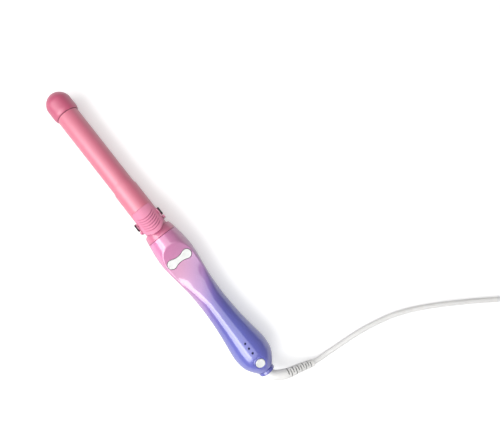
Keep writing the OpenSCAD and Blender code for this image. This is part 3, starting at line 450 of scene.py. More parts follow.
# The paint's blue on the moulded end flange, under the same clear coat: deep and glossy
blue_gloss = surface("clear_coated_violet_blue_plastic", "#5A5BB8", "#6062C0", 0.36, 0.004, 1.6,
                     coat=1.0, coat_rough=0.13, patch=14, specular=0.4, coat_ior=2.15)
# Baked ceramic coat on the barrel and its clip: satin, with one broad soft light along it
pink_ceramic = surface("satin_pink_ceramic_coat", "#DF6685", "#E26B8A", 0.45, 0.006, 0.35,
                       patch=22, spread=0.03, specular=1.0, ior=1.8,
                       sheen=0.4, sheen_rough=0.5)
# Heat-proof cap, moulded: satin, a little darker and bluer than the barrel
mauve_cap = surface("satin_mauve_heat_proof_plastic", "#CC3B6D", "#D04172", 0.47, 0.008, 0.5,
                    patch=18, specular=1.0, ior=1.8, sheen=0.4, sheen_rough=0.5)
# Moulded silicone in the seam of the cap: a thin dull dark line
dark_seal = surface("dark_silicone_seal", "#6B3548", "#5C2C3D", 0.7, 0.006, 0.4)
# Lever moulded in a spark-eroded tool: matte, with painted shade in its grip grooves
lever_pink = surface("matte_pink_grip_plastic", "#EB90B1", "#E88DAE", 0.5, 0.012, 0.3, patch=12,
                     spread=0.05, specular=0.8, marked=("groove", "#B65A80"))
# Collar moulded in a polished tool: a soft gloss between the satin barrel and the painted handle
collar_pink = surface("glossy_pink_plastic", "#DB759B", "#DF7BA1", 0.36, 0.004, 1.4, coat=0.8,
                      coat_rough=0.12, patch=12, specular=0.8, coat_ior=1.7)
# Moulded heads over the hinge pins: near black, with a small soft light
black_heads = surface("satin_black_plastic", "#120D0D", "#1B1414", 0.3, 0.006, 0.5, coat=0.3,
                      coat_rough=0.15)
# Moulded rocker and power button: white and satin
white_buttons = surface("satin_white_plastic", "#EFF1EE", "#ECEEEB", 0.38, 0.006, 0.4, coat=0.15,
                        coat_rough=0.2)
# Light pipes of the indicators, moulded in clear dark plastic: navy dots while they are off
navy_windows = surface("dark_navy_light_pipe", "#0C0F36", "#11144A", 0.4, 0.002, 0.5, specular=0.3)
# Extruded jacket of the cord: soft white, with a faint sheen
white_jacket = surface("white_flexible_jacket", "#F8F7F5", "#F4F3F1", 0.42, 0.02, 0.6, sheen=0.08,
                       patch=30)
# The same plastic moulded over the cord as strain relief and plug: white, with painted grey shade in its
# slots
relief_white = surface("white_moulded_relief", "#F7F6F4", "#F4F3F1", 0.45, 0.015, 0.5, patch=10,
                       marked=("slot", "#7A7A7A"))
# Machined steel of screws, pins and the motor: bright grey with fine cutting marks
steel = surface("machined_steel", "#B9BBBE", "#A9ABAF", 0.3, 0.004, 0.25, metal=1.0, patch=3)
# Drawn spring wire: brighter and smoother than the machined steel
spring_steel = surface("bright_spring_wire", "#C4C7CA", "#A5A8AC", 0.22, 0.002, 0.2, metal=1.0, patch=2)
# Extruded aluminium of the heater's shoes: pale, with a dull metal sheen
bare_aluminium = surface("extruded_aluminium", "#C9CCCF", "#BFC2C6", 0.38, 0.006, 0.3, metal=1.0, patch=6)
# Turned brass of the gearbox, pinion and slip rings: warm yellow and fairly smooth
brass = surface("turned_brass", "#C79A3A", "#B98C30", 0.28, 0.003, 0.25, metal=1.0, patch=4)
# Nickel plate on the plug's brass blades: a cool grey, the smoothest metal here
nickel = surface("nickel_plated_brass", "#C9CACC", "#BDBFC2", 0.2, 0.002, 0.3, metal=1.0, patch=5)
# Film wrapped round the ceramic heater: amber with a smooth gloss
heater_film = surface("amber_insulating_film", "#B58A55", "#A67A45", 0.35, 0.01, 0.8, coat=0.4, patch=5)
# Extruded silicone on the heater's wires: cream and dull
wire_jacket = surface("silicone_wire_jacket", "#E8E4DA", "#DCD8CC", 0.6, 0.008, 0.4)
# Fused glass bead of the temperature sensor: brown and wet-looking
glass_bead = surface("brown_glass_bead", "#6B4A2F", "#5C3E26", 0.15, 0.002, 0.5, coat=0.5, patch=2)
# Nylon moulded with glass fibre, in the drive and the swivel: dark grey with a fibrous dullness
dark_nylon = surface("glass_filled_nylon", "#2B2B2E", "#343437", 0.5, 0.015, 0.25, patch=4)
# Moulded acetal of bushes and the large gear: ivory, smooth and waxy
acetal = surface("white_acetal", "#E6E2D6", "#DDD8CA", 0.4, 0.006, 0.4, patch=6)
# Pressed carbon of the brushes: near black and grainy
carbon = surface("pressed_carbon", "#3F3A36", "#352F2B", 0.6, 0.02, 0.15, patch=1)
# Boards of pressed glass cloth under lacquer: green with a light gloss
green_board = surface("glass_fibre_board", "#2F6B45", "#2A6040", 0.35, 0.008, 0.4, coat=0.4, patch=3)
# Moulded packages on the boards: charcoal and matte
chips = surface("moulded_electronic_parts", "#33373B", "#3C4045", 0.45, 0.01, 0.2, patch=2)
# Cast packages of the light diodes: milky, with a gloss
diode = surface("clear_diode_package", "#F2F1EA", "#E6E5DC", 0.2, 0.003, 0.3, coat=0.5, patch=1)
# Woven strap round the coil: black and soft, with fibre ends that catch light
strap_black = surface("woven_black_strap", "#232326", "#2E2E32", 0.8, 0.06, 0.45, sheen=0.4, patch=3)

# Each CAD node's finish, by the name of its slot in the record
BY_SLOT = {
    "pink_coat_on_aluminium": pink_ceramic, "pink_coated_sheet": pink_ceramic, "mauve_cap": mauve_cap,
    "dark_seal": dark_seal, "pink_lever": lever_pink, "pink_collar": collar_pink,
    "black_head": black_heads, "ombre_shell": ombre_paint, "blue_flange": blue_gloss,
    "white_button": white_buttons, "navy_window": navy_windows, "white_cord": white_jacket,
    "steel": steel, "bare_aluminium": bare_aluminium, "ceramic_heater": heater_film,
    "wire_jacket": wire_jacket, "brown_glass": glass_bead, "dark_nylon": dark_nylon,
    "acetal": acetal, "brass": brass, "carbon": carbon, "green_board": green_board,
    "electronics": chips, "light_diode": diode, "black_tie": strap_black, "bright_pins": nickel,
}
for row in frame["record"]["subparts"]:
    node = frame["nodes"][row["node"]]
    node.data.materials.clear()
    node.data.materials.append(BY_SLOT[row["material_slot"]])

# Camera: straight down, as in the photograph, with the iron turned in the picture. The shift frames
# it as the photograph does.
CAMERA_AT, CAMERA_OVER_AXIS, TURNED = (28.1, 16.9), 453.6, math.radians(52)
lens = bpy.data.cameras.new("camera")
lens.sensor_width = 36
lens.lens = 30.24
lens.shift_x = 0.1238
lens.shift_y = 0.0422
lens.clip_start = 0.01
camera = bpy.data.objects.new("camera", lens)
bpy.context.scene.collection.objects.link(camera)
camera.location = Vector((*CAMERA_AT, AXIS + CAMERA_OVER_AXIS)) * MM
camera.rotation_euler = (0, 0, TURNED)
bpy.context.scene.camera = camera

# Cord, on the points of the solids
RELIEF = [(189.15, 0, 19.6), (189.75, 0, 19.6), (192.6, 0.4, 19.6), (196, 2.3, 19.5),
          (199, 5.7, 19.3), (202, 10.2, 18.6), (204.7, 15.3, 17.6), (207.5, 22.5, 15.4),
          (210.2, 29.6, 12.9), (213.3, 36.8, 10.2), (216.9, 45, 7.3)]
RUN = [(216.9, 45, 7.3), (218.7, 53, 5.1), (219.7, 62, 3.6), (220.5, 71, 3), (221.2, 80, 2.8),
       (222, 92, 2.8), (223.2, 105, 2.8), (225, 118, 2.8), (227.6, 131, 2.8), (230.7, 144, 2.8),
       (234.7, 156, 2.8), (239.7, 168, 2.8), (245.7, 180, 2.8), (252.2, 192, 2.8), (259.2, 204, 2.8),
       (266.7, 216, 2.8), (274.2, 228, 2.8), (282.2, 240, 2.8), (290.2, 252, 2.8), (298.2, 264, 2.8),
       (305.2, 275, 3), (311.2, 284.5, 3.4), (316.2, 292.5, 3.9), (319.6, 297.8, 4.15),
       (323.2, 302.6, 4.15)]
CORD_R, COIL_IN, COIL_PITCH, COIL_TURNS, LAYERS = 2.75, 21.0, 6.05, 2.75, 4
COIL_LOW, STEPS_A_TURN = 4.15, 48
COIL_OUT = COIL_IN + COIL_TURNS * COIL_PITCH
heading = math.atan2(RUN[-1][1] - RUN[-2][1], RUN[-1][0] - RUN[-2][0])
coil_middle = (RUN[-1][0] - COIL_OUT * math.sin(heading), RUN[-1][1] + COIL_OUT * math.cos(heading))


def coil_point(turn):
    """A point of the coil, which runs in and out again, one layer over the other."""
    layer = min(LAYERS - 1, int(turn / COIL_TURNS))
    share = turn - layer * COIL_TURNS
    r = COIL_OUT - share * COIL_PITCH if layer % 2 == 0 else COIL_IN + share * COIL_PITCH
    angle = heading - math.pi / 2 + 2 * math.pi * turn
    climbed = sum(smooth_step(2 * (turn - k * COIL_TURNS) + 0.5) for k in range(1, LAYERS))
    height = COIL_LOW + COIL_PITCH * climbed
    return coil_middle[0] + r * math.cos(angle), coil_middle[1] + r * math.sin(angle), height


coil_steps = int(STEPS_A_TURN * LAYERS * COIL_TURNS)
coil_line = np.array([coil_point(k / STEPS_A_TURN) for k in range(coil_steps + 1)])
top = coil_line[-1]
TAIL_ROUTE = [tuple(top), (top[0] + 4.8, top[1] + 6.4, top[2] - 0.2), (333.2, 320, 20.6),
              (338.2, 334, 18.2), (337.7, 349, 15.2), (330.7, 362.5, 12.3), (319.2, 372.5, 10.2),
              (306.2, 377.5, 9.1), (295.2, 378.5, 8.8), (289.2, 378.5, 8.8)]
PLUG = TAIL_ROUTE[-1]
cord_line = spaced(np.concatenate([smooth_line(RUN, 10)[:-1], coil_line[:-1],
                                   smooth_line(TAIL_ROUTE, 10)]), 1.6)
cord_line[0], cord_line[-1] = RUN[0], PLUG
cord = dress(build("cord", [swept(cord_line, CORD_R, 20)], 0), "cord", white_jacket,
             ("cord_run", "cord_coil", "cord_tail"), 50)

# Strain relief: a smooth elbow, then ten grip slots with webs that alternate, then an end ring
relief_line = spaced(smooth_line(RELIEF, 16), 0.05)
relief_run = np.r_[0, np.cumsum(np.linalg.norm(np.diff(relief_line, axis=0), axis=1))]
RELIEF_LEN = float(relief_run[-1])
SLOTS, SLOT_PITCH, SLOT_MIDDLE, SLOT_BOTTOM = 10, 3.2, 0.85, 3.05
slots_from = RELIEF_LEN - SLOTS * SLOT_PITCH - 2.4


def relief_radius(d):
    """The relief's radius at a distance from the iron, with its end ring past a groove."""
    return np.interp(d, [0, 0.3, slots_from - 4, slots_from + 0.3, RELIEF_LEN - 2.5, RELIEF_LEN - 2.3,
                         RELIEF_LEN - 1.9, RELIEF_LEN - 1.6, RELIEF_LEN - 0.3, RELIEF_LEN],
                     [5.55, 5.7, 5.7, 5.5, 4.15, 3.5, 3.5, 4.2, 4.2, 3.9])


def slot_share(d, angles):
    """How far points of the relief lie in a slot, from 0 to 1, at a distance and some angles."""
    k = int((d - slots_from) // SLOT_PITCH)
    if not 0 <= k < SLOTS:
        return np.zeros_like(angles)
    off = abs(d - slots_from - k * SLOT_PITCH - SLOT_MIDDLE)
    web = math.radians(112 if k % 2 == 0 else 20)
    away = np.abs((angles - web + math.pi / 2) % math.pi - math.pi / 2)
    return (1 - smooth_step((off - 0.5) / 0.16)) * smooth_step((away - math.radians(17)) / math.radians(6))


marks = [0, 0.15, 0.3] + list(np.arange(0.8, slots_from - 0.1, 0.6))
for k in range(SLOTS):
    marks += [slots_from + k * SLOT_PITCH + SLOT_MIDDLE + o for o in
              (-0.8, -0.68, -0.6, -0.5, -0.2, 0.2, 0.5, 0.6, 0.68, 0.8, 1.3, 1.7)]
marks += [RELIEF_LEN - o for o in (2.5, 2.3, 1.9, 1.6, 1.2, 0.7, 0.3, 0)]
marks = sorted(set(round(m, 3) for m in marks))
rings, slot_shares = [], []
angles = np.arange(96) * 2 * math.pi / 96
for d in marks:
    i = min(len(relief_line) - 2, int(np.searchsorted(relief_run, d)))
    here = np.array([np.interp(d, relief_run, relief_line[:, c]) for c in range(3)])
    ahead = relief_line[min(len(relief_line) - 1, i + 6)] - relief_line[max(0, i - 6)]
    ahead = np.array((1.0, 0, 0)) if d < 0.2 else ahead / np.linalg.norm(ahead)
    left = np.cross((0, 0, 1.0), ahead)
    left /= np.linalg.norm(left)
    over = np.cross(ahead, left)
    slot_shares.append(slot_share(d, angles))
    r = relief_radius(d) - slot_shares[-1] * (relief_radius(d) - SLOT_BOTTOM)
    rings.append(here + r[:, None] * (np.cos(angles)[:, None] * left + np.sin(angles)[:, None] * over))
relief = dress(build("strain_relief_sleeve", [loft(rings)], 0), "cord", relief_white,
               ("strain_relief",), 40)
# Painted shade: the slots are marked so that their floors are drawn grey
mark(relief, "slot", np.concatenate(rings), np.concatenate(slot_shares), 0)

# Cool tip, its seal and the barrel
DOME_R = 14.8
dome = [(TIP + DOME_R * (1 - math.cos(a)), DOME_R * math.sin(a)) for a in np.radians(np.arange(0, 68, 4))]
rim = [(TIP + 10.4, 14.13), (TIP + 11.6, 14.38), (TIP + 13.2, 14.48), (TIP + 15, CAP_R),
       (CAP - 5.5, CAP_R), (CAP - 4, 14.47), (CAP - 2.6, 14.3), (CAP - 1.4, 13.95), (CAP - 0.5, 13.45),
       (CAP - 0.08, 13.1), (CAP, 12.9)]
cap_line = smooth_line(dome + rim, 3)
cap_line[:, 1] = np.minimum(cap_line[:, 1], CAP_R)
cap_line[0] = (TIP, 0)
turned("tip_cap_moulding", [tuple(p) for p in cap_line] + [(CAP, 0)], "head", mauve_cap,
       ("tip_cap",))
seal_line = fillet([(CAP, 11.6, 0), (CAP, 13.0, 0.12), (BARREL, 13.0, 0.12), (BARREL, 11.6, 0)], True)
turned("tip_seal_ring", seal_line, "head", dark_seal, ("tip_seal",), loop=True)
barrel_line = fillet([(BARREL, BARREL_IN, 0), (BARREL, BARREL_R, 0.2), (BARREL_END, BARREL_R, 0.1),
                      (BARREL_END, BARREL_IN, 0)], True)
turned("coated_barrel", barrel_line, "head", pink_ceramic, ("barrel_tube",),
       loop=True)

# Collar, from the front: barrel socket, lip, neck, the flare up to the seam, and the shaft's seat
LIP, LIP_REAR, LIP_FLAT = -12.75, -9.45, 12.6
flare = smooth_line([(COLLAR + 0.3, 15.45), (COLLAR + 0.9, 15.8), (COLLAR + 4.5, 16.72), (3.5, 17.5),
                     (3.92, 17.55)], 8)
collar_line = (fillet([(BARREL_END, 12.72, 0), (LIP, 12.72, 0), (LIP, 13.9, 0.3), (LIP_REAR, 13.9, 0.3),
                       (-9.25, 13.1, 0.2), (COLLAR, 13.1, 0.35), (COLLAR, 15.2, 0.2),
                       tuple(flare[0]) + (0,)])
               + [tuple(p) for p in flare[1:]] + [(4.15, 17.42), (SEAM, 17.2), (SEAM, 11.6), (1.25, 11.6),
                                                  (1.25, 9.4), (BARREL_END, 9.4)])


def pin_arc(r, degrees):
    """Points at a radius from the hinge pin's middle, seen from the side."""
    return [(PIN_X + r * math.cos(a), PIN_Z + r * math.sin(a), 0) for a in np.radians(degrees)]


# Ears that carry the hinge pins, each on a rounded foot, and the boss under the clip's spring
ear = fillet([(-12.2, LIP_FLAT, 0), (-14.3, LIP_FLAT, 0.6)] + pin_arc(EAR_R, np.arange(36, 271, 9))
             + [(-12.2, PIN_Z - EAR_R, 0)], True, 6)
ear_part = moved(plate(ear, EAR_IN, EAR_OUT, 0.2, 4), TO_SIDE)
foot = fillet([(LIP_REAR, -3.4, 0.8), (LIP_REAR, LIP_FLAT, 1.4), (LIP, LIP_FLAT, 0.8), (LIP, -3.4, 0.8)],
              True, 6)
foot_part = moved(plate(foot, EAR_IN, 16.0, 0.6, 5), TO_SIDE)
web = box((LIP + 0.05, 12.9, -3.3), (LIP_REAR - 0.05, 14.2, 3.3), 0.3)
seat_line = [(LIP_FLAT, 0), (LIP_FLAT, 3.2), (14.1, 3.2), (SPRING_SEAT, 3.05), (SPRING_SEAT, 0)]
spring_seat = moved(lathe(seat_line, 48), Matrix.Translation((SPRING_X, 0, 0)))
collar = build("hinge_collar", [moved(lathe(collar_line, 200, True), ALONG_X), ear_part, mirrored(ear_part),
                                foot_part, mirrored(foot_part), web, mirrored(web), spring_seat])
dress(collar, "head", collar_pink, ("collar",))

# Heads over the hinge pins, with a shallow dimple
head_line = fillet([(0, 0, 0), (0, 4.5, 0.25), (1.9, 4.5, 0.55), (1.9, 2.2, 0.1), (1.65, 1.9, 0.1),
                    (1.65, 0, 0)])
pin_head = moved(lathe(head_line, 64), Matrix.Translation((PIN_X, EAR_OUT, PIN_Z)) @ TO_SIDE)
dress(build("pin_head_pair", [pin_head, mirrored(pin_head)]), "head", black_heads,
      ("pin_heads",))

# Spring under the lever: wire in three and a half curls
CURLS, CURL_R, WIRE_R = 3.5, 2.2, 0.4
spring_low, spring_high = SPRING_SEAT + 0.42, 18.5
curl = np.linspace(0, CURLS, 113)
spring_line = np.stack([SPRING_X + CURL_R * np.cos(2 * math.pi * curl), CURL_R * np.sin(2 * math.pi * curl),
                        spring_low + (spring_high - spring_low) * curl / CURLS], 1)
spring = dress(build("clip_spring_coil", [swept(spring_line, WIRE_R, 12)]), "head", spring_steel,
               ("clip_spring",), 50)
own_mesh(spring)

# Spoon: half a tube of sheet round the barrel, with a round tip and rolled edges
SPOON, SPOON_REAR, SPOON_TIP = -67.25, -22.75, 15.8
SPOON_OUT, SPOON_IN, SPOON_ROLL = 13.7, 13.0, 0.3
SPOON_LONG, SPOON_MIDDLE = SPOON_REAR - SPOON, (SPOON_OUT + SPOON_IN) / 2
near_edge = np.array([0.0, 0.06, 0.16, 0.3])
low_turn = math.asin(0.4 / SPOON_MIDDLE)
turns = np.linspace(low_turn, math.pi - low_turn, 97)
close = near_edge / SPOON_MIDDLE
turns = np.unique(np.r_[turns, low_turn + close, math.pi - low_turn - close])
rows = np.unique(np.r_[near_edge, np.linspace(0.8, SPOON_LONG, 56), SPOON_LONG - near_edge[1:]])
share, turn = np.meshgrid(rows / SPOON_LONG, turns, indexing="ij")
front = SPOON + SPOON_TIP - np.sqrt(SPOON_TIP ** 2 - (SPOON_OUT * np.cos(turn)) ** 2)
x = front + (SPOON_REAR - front) * share
edge = np.minimum(np.minimum(turn - low_turn, math.pi - low_turn - turn) * SPOON_MIDDLE,
                  np.minimum(share, 1 - share) * SPOON_LONG)
outer = SPOON_OUT - rolled(edge, SPOON_ROLL)
inner = SPOON_IN + rolled(edge, SPOON_ROLL)
grids = [np.stack([x, r * np.cos(turn), r * np.sin(turn)], -1) for r in (outer, inner)]
dress(build("clip_spoon_sheet", [slab(*grids)]), "clip", pink_ceramic,
      ("clip_spoon",), 40)

# Thumb lever: a tilted round crown, with grip grooves and a rear edge that are arcs from above
RISE, CROWN_R, REAR_R, GROOVE_R, GROOVE_HALF = math.radians(16), 16.5, 15.3, 14.5, 9.5
LEVER_SIDE, LEVER_THICK, EDGE_ROLL, GROOVE_DEEP = 13.0, 2.2, 0.85, 0.7
GROOVE_LAST, GROOVE_STEP, GROOVES = -5.85, 2.9, 6
BOWED, REAR_ARC, SIDE_BEND, SIDE_EASE = -21.2, -4.8, 0.87, 0.1


def crown(x, y, down=0.0):
    """Height of the lever's crown, a tilted cylinder."""
    lift = LEVER_TOP - CROWN_R / math.cos(RISE) + math.tan(RISE) * (x - LEVER)
    return lift + np.sqrt(np.maximum((CROWN_R - down) ** 2 - y ** 2, 0)) / math.cos(RISE)


def set_back(rows, y):
    """How far a row's point lies in front of its middle. Rows are straight at the lever's front, arcs
    from BOWED on, as the grooves are, and turn into the rear edge's own arc from REAR_ARC on."""
    y = np.abs(y)
    past = np.maximum(y - GROOVE_HALF, 0)
    arc = GROOVE_R - np.sqrt(GROOVE_R ** 2 - np.minimum(y, GROOVE_HALF) ** 2)
    arc = arc + SIDE_BEND * past - SIDE_EASE * past ** 2
    rear = REAR_R - np.sqrt(REAR_R ** 2 - y ** 2)
    bow = (rows - LEVER) / (BOWED - LEVER)
    last = np.clip((rows - REAR_ARC) / (LEVER_REAR - REAR_ARC), 0, 1)
    return smooth_step(bow) * (arc + (rear - arc) * last)


grooves = [GROOVE_LAST - GROOVE_STEP * k for k in range(GROOVES)]
# Rows of points lie closer at the ends and over each groove
rows = [LEVER + e for e in (0, 0.1, 0.25, 0.45, 0.7, 1.0)] + list(np.arange(LEVER + 1.5, LEVER_REAR - 1, 0.5))
rows += [g + o * s for g in grooves for s in (-1, 1) for o in (0.08, 0.18, 0.26, 0.33, 0.4, 0.47, 0.55, 0.65)]
rows += [LEVER_REAR - e for e in (0, 0.08, 0.2, 0.38, 0.6, 0.85)]
rows = np.unique(np.round(rows, 3))
# Half the lever's width at each row, which narrows to the front
reach = np.full(len(rows), LEVER_SIDE)
for _ in range(12):
    reach = np.interp(rows - set_back(rows, reach), [LEVER, LEVER + 7.5, LEVER + 12],
                      [11.0, 12.5, LEVER_SIDE])
across = np.linspace(-1, 1, 71)
near = 1 - np.array([0.08, 0.2, 0.38, 0.6, EDGE_ROLL, 1.1]) / LEVER_SIDE
across = np.unique(np.r_[across, near, -near])
row, t = np.meshgrid(np.arange(len(rows)), across, indexing="ij")
y = t * reach[row]
x = rows[row] - set_back(rows[row], y)


def groove_share(rows, y):
    """How far a point of the lever lies in a grip groove, from 0 to 1."""
    off = np.min([np.abs(rows - g) for g in grooves], axis=0)
    return (1 - smooth_step((off - 0.18) / 0.37)) * (1 - smooth_step((np.abs(y) - 9.0) / 1.0))


sunk = groove_share(rows[row], y)
ends = np.minimum(rows[row] - LEVER, LEVER_REAR - rows[row])
sides = reach[row] - np.abs(y)
fall = np.minimum(rolled(ends, EDGE_ROLL) + rolled(sides, EDGE_ROLL), 1.3)
over = crown(x, y) - GROOVE_DEEP * sunk - fall
# In front the lever stands on the spoon, and behind it the underside follows the crown
solid = np.clip((SPOON_REAR + 0.3 - x) / 0.3, 0, 1)
below = solid * np.sqrt((SPOON_OUT + 0.08) ** 2 - y ** 2) + (1 - solid) * crown(x, y, LEVER_THICK)
below = np.minimum(below + 0.4 * rolled(ends, 0.4) + 0.4 * rolled(sides, 0.4), over - 0.25)
lever_top = slab(np.stack([x, y, over], -1), np.stack([x, y, below], -1))
# Eyes on the hinge pins, inside the ears
eye = fillet(pin_arc(EYE_R, np.arange(180, 361, 10)) + [(PIN_X + EYE_R, 11.6, 0), (PIN_X - EYE_R, 10.6, 0)],
             True)
eye_part = moved(plate(eye, 11.4, 13.0, 0.25, 3), TO_SIDE)
lever = build("thumb_lever_moulding", [lever_top, eye_part, mirrored(eye_part)])
# Painted shade in the grip grooves: darker than the crown, least so on the lamps' side, where the bright
# strip lies
mark(lever, "groove", np.stack([x, y, over], -1).reshape(-1, 3),
     (sunk * np.interp(y, [-9, 4], [0.35, 1.0])).reshape(-1))
dress(lever, "clip", lever_pink, ("thumb_lever",), 38)


# Handle shells: radii along the handle, from the swell at the seam over the waist to the bulb
def mix(a, b, share):
    """A value on the way from one to the other."""
    return a + (b - a) * share


SEAM_R, SWELL_R, WAIST_R, TAIL_R = 17.6, 20.0, 14.5, 9.6
STATIONS = [(0, SEAM_R), (0.06, mix(SEAM_R, SWELL_R, 0.62)), (0.132, SWELL_R)]
STATIONS += [(at, mix(SWELL_R, WAIST_R, share)) for at, share in
             ((0.2, 0.15), (0.255, 0.39), (0.31, 0.64), (0.375, 0.87), (0.435, 0.96), (0.495, 1))]
STATIONS += [(at, mix(WAIST_R, SWELL_R, share)) for at, share in
             ((0.555, 0.06), (0.615, 0.16), (0.675, 0.33), (0.735, 0.56), (0.795, 0.83), (0.845, 1))]
STATIONS += [(at, mix(SWELL_R, TAIL_R, share)) for at, share in
             ((0.885, 0.03), (0.915, 0.12), (0.945, 0.33), (0.972, 0.63), (1, 1))]
OUTLINE = smooth_line([(HANDLE + s * (TAIL - HANDLE), r) for s, r in STATIONS], 12)
OUTLINE[:, 1] = np.minimum(OUTLINE[:, 1], SWELL_R)


def handle_r(x):
    """The handle's radius at a place along it."""
    return np.interp(x, OUTLINE[:, 0], OUTLINE[:, 1])


def lower_of(a, b, k):
    """The lower of two heights, with the corner between them rounded over k."""
    h = np.clip(0.5 + 0.5 * (b - a) / k, 0, 1)
    return b * (1 - h) + a * h - k * h * (1 - h)


def scoop_z(x):
    """Height of the scoop's floor over the iron's axis: a steep arc in front and a long one behind."""
    r = np.where(x < SCOOP_X, SCOOP_R, SCOOP_REAR_R)
    return SCOOP_FLOOR + r - np.sqrt(np.maximum(r * r - (x - SCOOP_X) ** 2, 0))


def over_seat(x, y, rise_at):
    """Height of a face round the power button, from its rise off the tilted seat at a distance from
    the button's middle, and that distance."""
    s, c = math.sin(BUTTON_TILT), math.cos(BUTTON_TILT)
    rise = np.zeros_like(x)
    for _ in range(12):
        z = BUTTON_Z + (rise - (x - BUTTON_X) * s) / c
        out = np.hypot((x - BUTTON_X) * c - (z - BUTTON_Z) * s, y)
        rise = rise_at(out)
    return BUTTON_Z + (rise - (x - BUTTON_X) * s) / c, out


def recess_z(x, y, flat=7.4):
    """Height of the dish round the power button: a flat seat, then a bank at 45 degrees."""
    return over_seat(x, y, lambda out: -lower_of(np.zeros_like(out), flat - out, 0.5))[0]


BEZEL_R, BEZEL_HALF, BEZEL_HIGH, BUTTON_REGION = 6.4, 1.0, 0.7, 158


def bezel_round(out):
    """The bezel's round back over its width, from 0 to 1."""
    return np.sqrt(np.clip(1 - ((out - BEZEL_R) / BEZEL_HALF) ** 2, 0, 1))


def bezel_rise(out):
    """Rise of the bezel, and of a low pad inside it that the button's hole is cut from."""
    bump = bezel_round(out)
    return np.where(out < BEZEL_R, np.maximum(bump, 0.6), bump) * BEZEL_HIGH


def bezel_z(x, y):
    """Height of the raised ring round the power button, and a low number off the ring."""
    z, out = over_seat(x, y, bezel_rise)
    return np.where(bezel_round(out) > 0, z, -50)


def front_height(x, y, z):
    """Height of the front shell where the plain round handle has height z. Behind the rocker the
    scoop is slightly crowned from side to side."""
    soft = np.interp(x, [30, 48, 75], [1.2, 2.2, 3.6])
    crowned = np.interp(x, [43, 60, 84, 104], [0, 1.6, 1.3, 0]) * (np.minimum(np.abs(y), 14) / 11) ** 2
    height = lower_of(z, np.minimum(scoop_z(x) - crowned, 30), soft)
    near_button = x > BUTTON_REGION
    height = np.where(near_button, lower_of(height, np.where(near_button, recess_z(x, y), 60), 0.5), height)
    height = np.where(near_button, np.maximum(height, bezel_z(x, y)), height)
    return np.maximum(height, 0.0)


def bare_and_shaded_faces(at):
    """Which faces of the shells lie inside them or in their holes."""
    x, y, z = at.T
    plain = np.sqrt(np.maximum(handle_r(x) ** 2 - y ** 2, 0))
    over = np.where(z > 0, front_height(x, y, plain), plain)
    deep = np.minimum(over - np.abs(z), handle_r(x) - np.abs(y) + 0.1)
    return (deep > 0.32) & (x > HANDLE + 0.5) & (x < TAIL - 0.5)


# Sections along the handle, closer round the power button and at its two rolled ends
END_ROLL, PARTING_BEVEL, SHELL = 0.3, 0.14, 2.2
xs = np.r_[HANDLE + np.array([0, 0.05, 0.15, END_ROLL]), np.arange(HANDLE + 0.9, 159, 0.7),
           np.arange(159.2, TAIL - 0.4, 0.28), TAIL - np.array([END_ROLL, 0.15, 0.05, 0])]
xs = np.unique(np.round(xs, 3))
end_fall = rolled(np.minimum(xs - HANDLE, TAIL - xs), END_ROLL)
angles = np.linspace(0, math.pi, 151)
sx, sa = np.meshgrid(xs, angles, indexing="ij")
sr = handle_r(sx) - end_fall[:, None]
sy, sz = sr * np.cos(sa), sr * np.sin(sa)
front_z = front_height(sx, sy, sz)


def half_rings(x, y, z, sign):
    """Rings of a half shell: its own line, with a small bevel down to the flat parting face. Where
    the line reaches that face early, its last points are repeated, so each ring has as many."""
    rings = []
    for i in range(len(x)):
        line = np.stack([x[i], y[i], sign * z[i]], 1)[1:-1]
        line = line[np.abs(line[:, 2]) > PARTING_BEVEL]
        at, r = x[i][0], np.abs(y[i][0])
        spare = len(x[i]) - 2 - len(line)
        first = [(at, r - PARTING_BEVEL, 0.0), (at, r, sign * PARTING_BEVEL)]
        last = [(at, -r, sign * PARTING_BEVEL), (at, -r + PARTING_BEVEL, 0.0)]
        line = np.concatenate([np.repeat(line[:1], spare // 2, 0), line,
                               np.repeat(line[-1:], spare - spare // 2, 0)])
        rings.append(np.concatenate([first, line, last]))
    return rings


# The space inside the shells: its two ends, how far it is cut past the parting face, and the flat
# over it that is wider than the power button's seat, so that the wall under the bank stays thick
ROOM_FRONT, ROOM_REAR, ROOM_PAST, ROOM_FLAT = 9.15, 178.25, 0.8, 9.4


def room(sign):
    """The space inside one half, a wall away from its outside and a little past the parting face."""
    x = np.r_[ROOM_FRONT, np.arange(11, 177, 2.5), ROOM_REAR]
    a = np.linspace(0.02, math.pi - 0.02, 33)
    gx, ga = np.meshgrid(x, a, indexing="ij")
    r = handle_r(gx) - SHELL
    gy, gz = r * np.cos(ga), r * np.sin(ga)
    if sign > 0:
        gz = np.minimum(gz, scoop_z(gx) - SHELL)
        gz = np.where(gx > BUTTON_REGION, np.minimum(gz, recess_z(gx, gy, ROOM_FLAT) - SHELL), gz)
        gz = np.maximum(gz, 0.1)
    rings = [np.concatenate([[(x[i], r[i][0], -ROOM_PAST * sign)], np.stack([gx[i], gy[i], sign * gz[i]], 1),
                             [(x[i], -r[i][0], -ROOM_PAST * sign)]]) for i in range(len(x))]
    return loft(rings)


# The rocker's outline: two round lobes, joined by hollow sides that are arcs
LOBE_R, LOBE_Y, WAIST = 5.1, 9.6, 3.0
side_r = (WAIST ** 2 + LOBE_Y ** 2 - LOBE_R ** 2) / (2 * (LOBE_R - WAIST))
side_x = side_r + WAIST
meet = math.atan2(LOBE_Y, side_x)


def bone_points():
    """Points of the rocker's outline, each with its place on the middle line."""
    out = []
    for lobe in (1, -1):
        for a in np.linspace(-meet, math.pi + meet, 61):
            n = np.array((math.cos(a), math.sin(a))) * lobe
            out.append((np.array((0, LOBE_Y * lobe)) + LOBE_R * n, (0, LOBE_Y * lobe)))
        for a in np.linspace(meet, -meet, 33)[1:-1]:
            n = np.array((math.cos(a), math.sin(a))) * lobe
            p = np.array((-side_x * lobe, 0)) + side_r * n
            out.append((p, (0, math.tan(a) * side_x * lobe)))
    return out


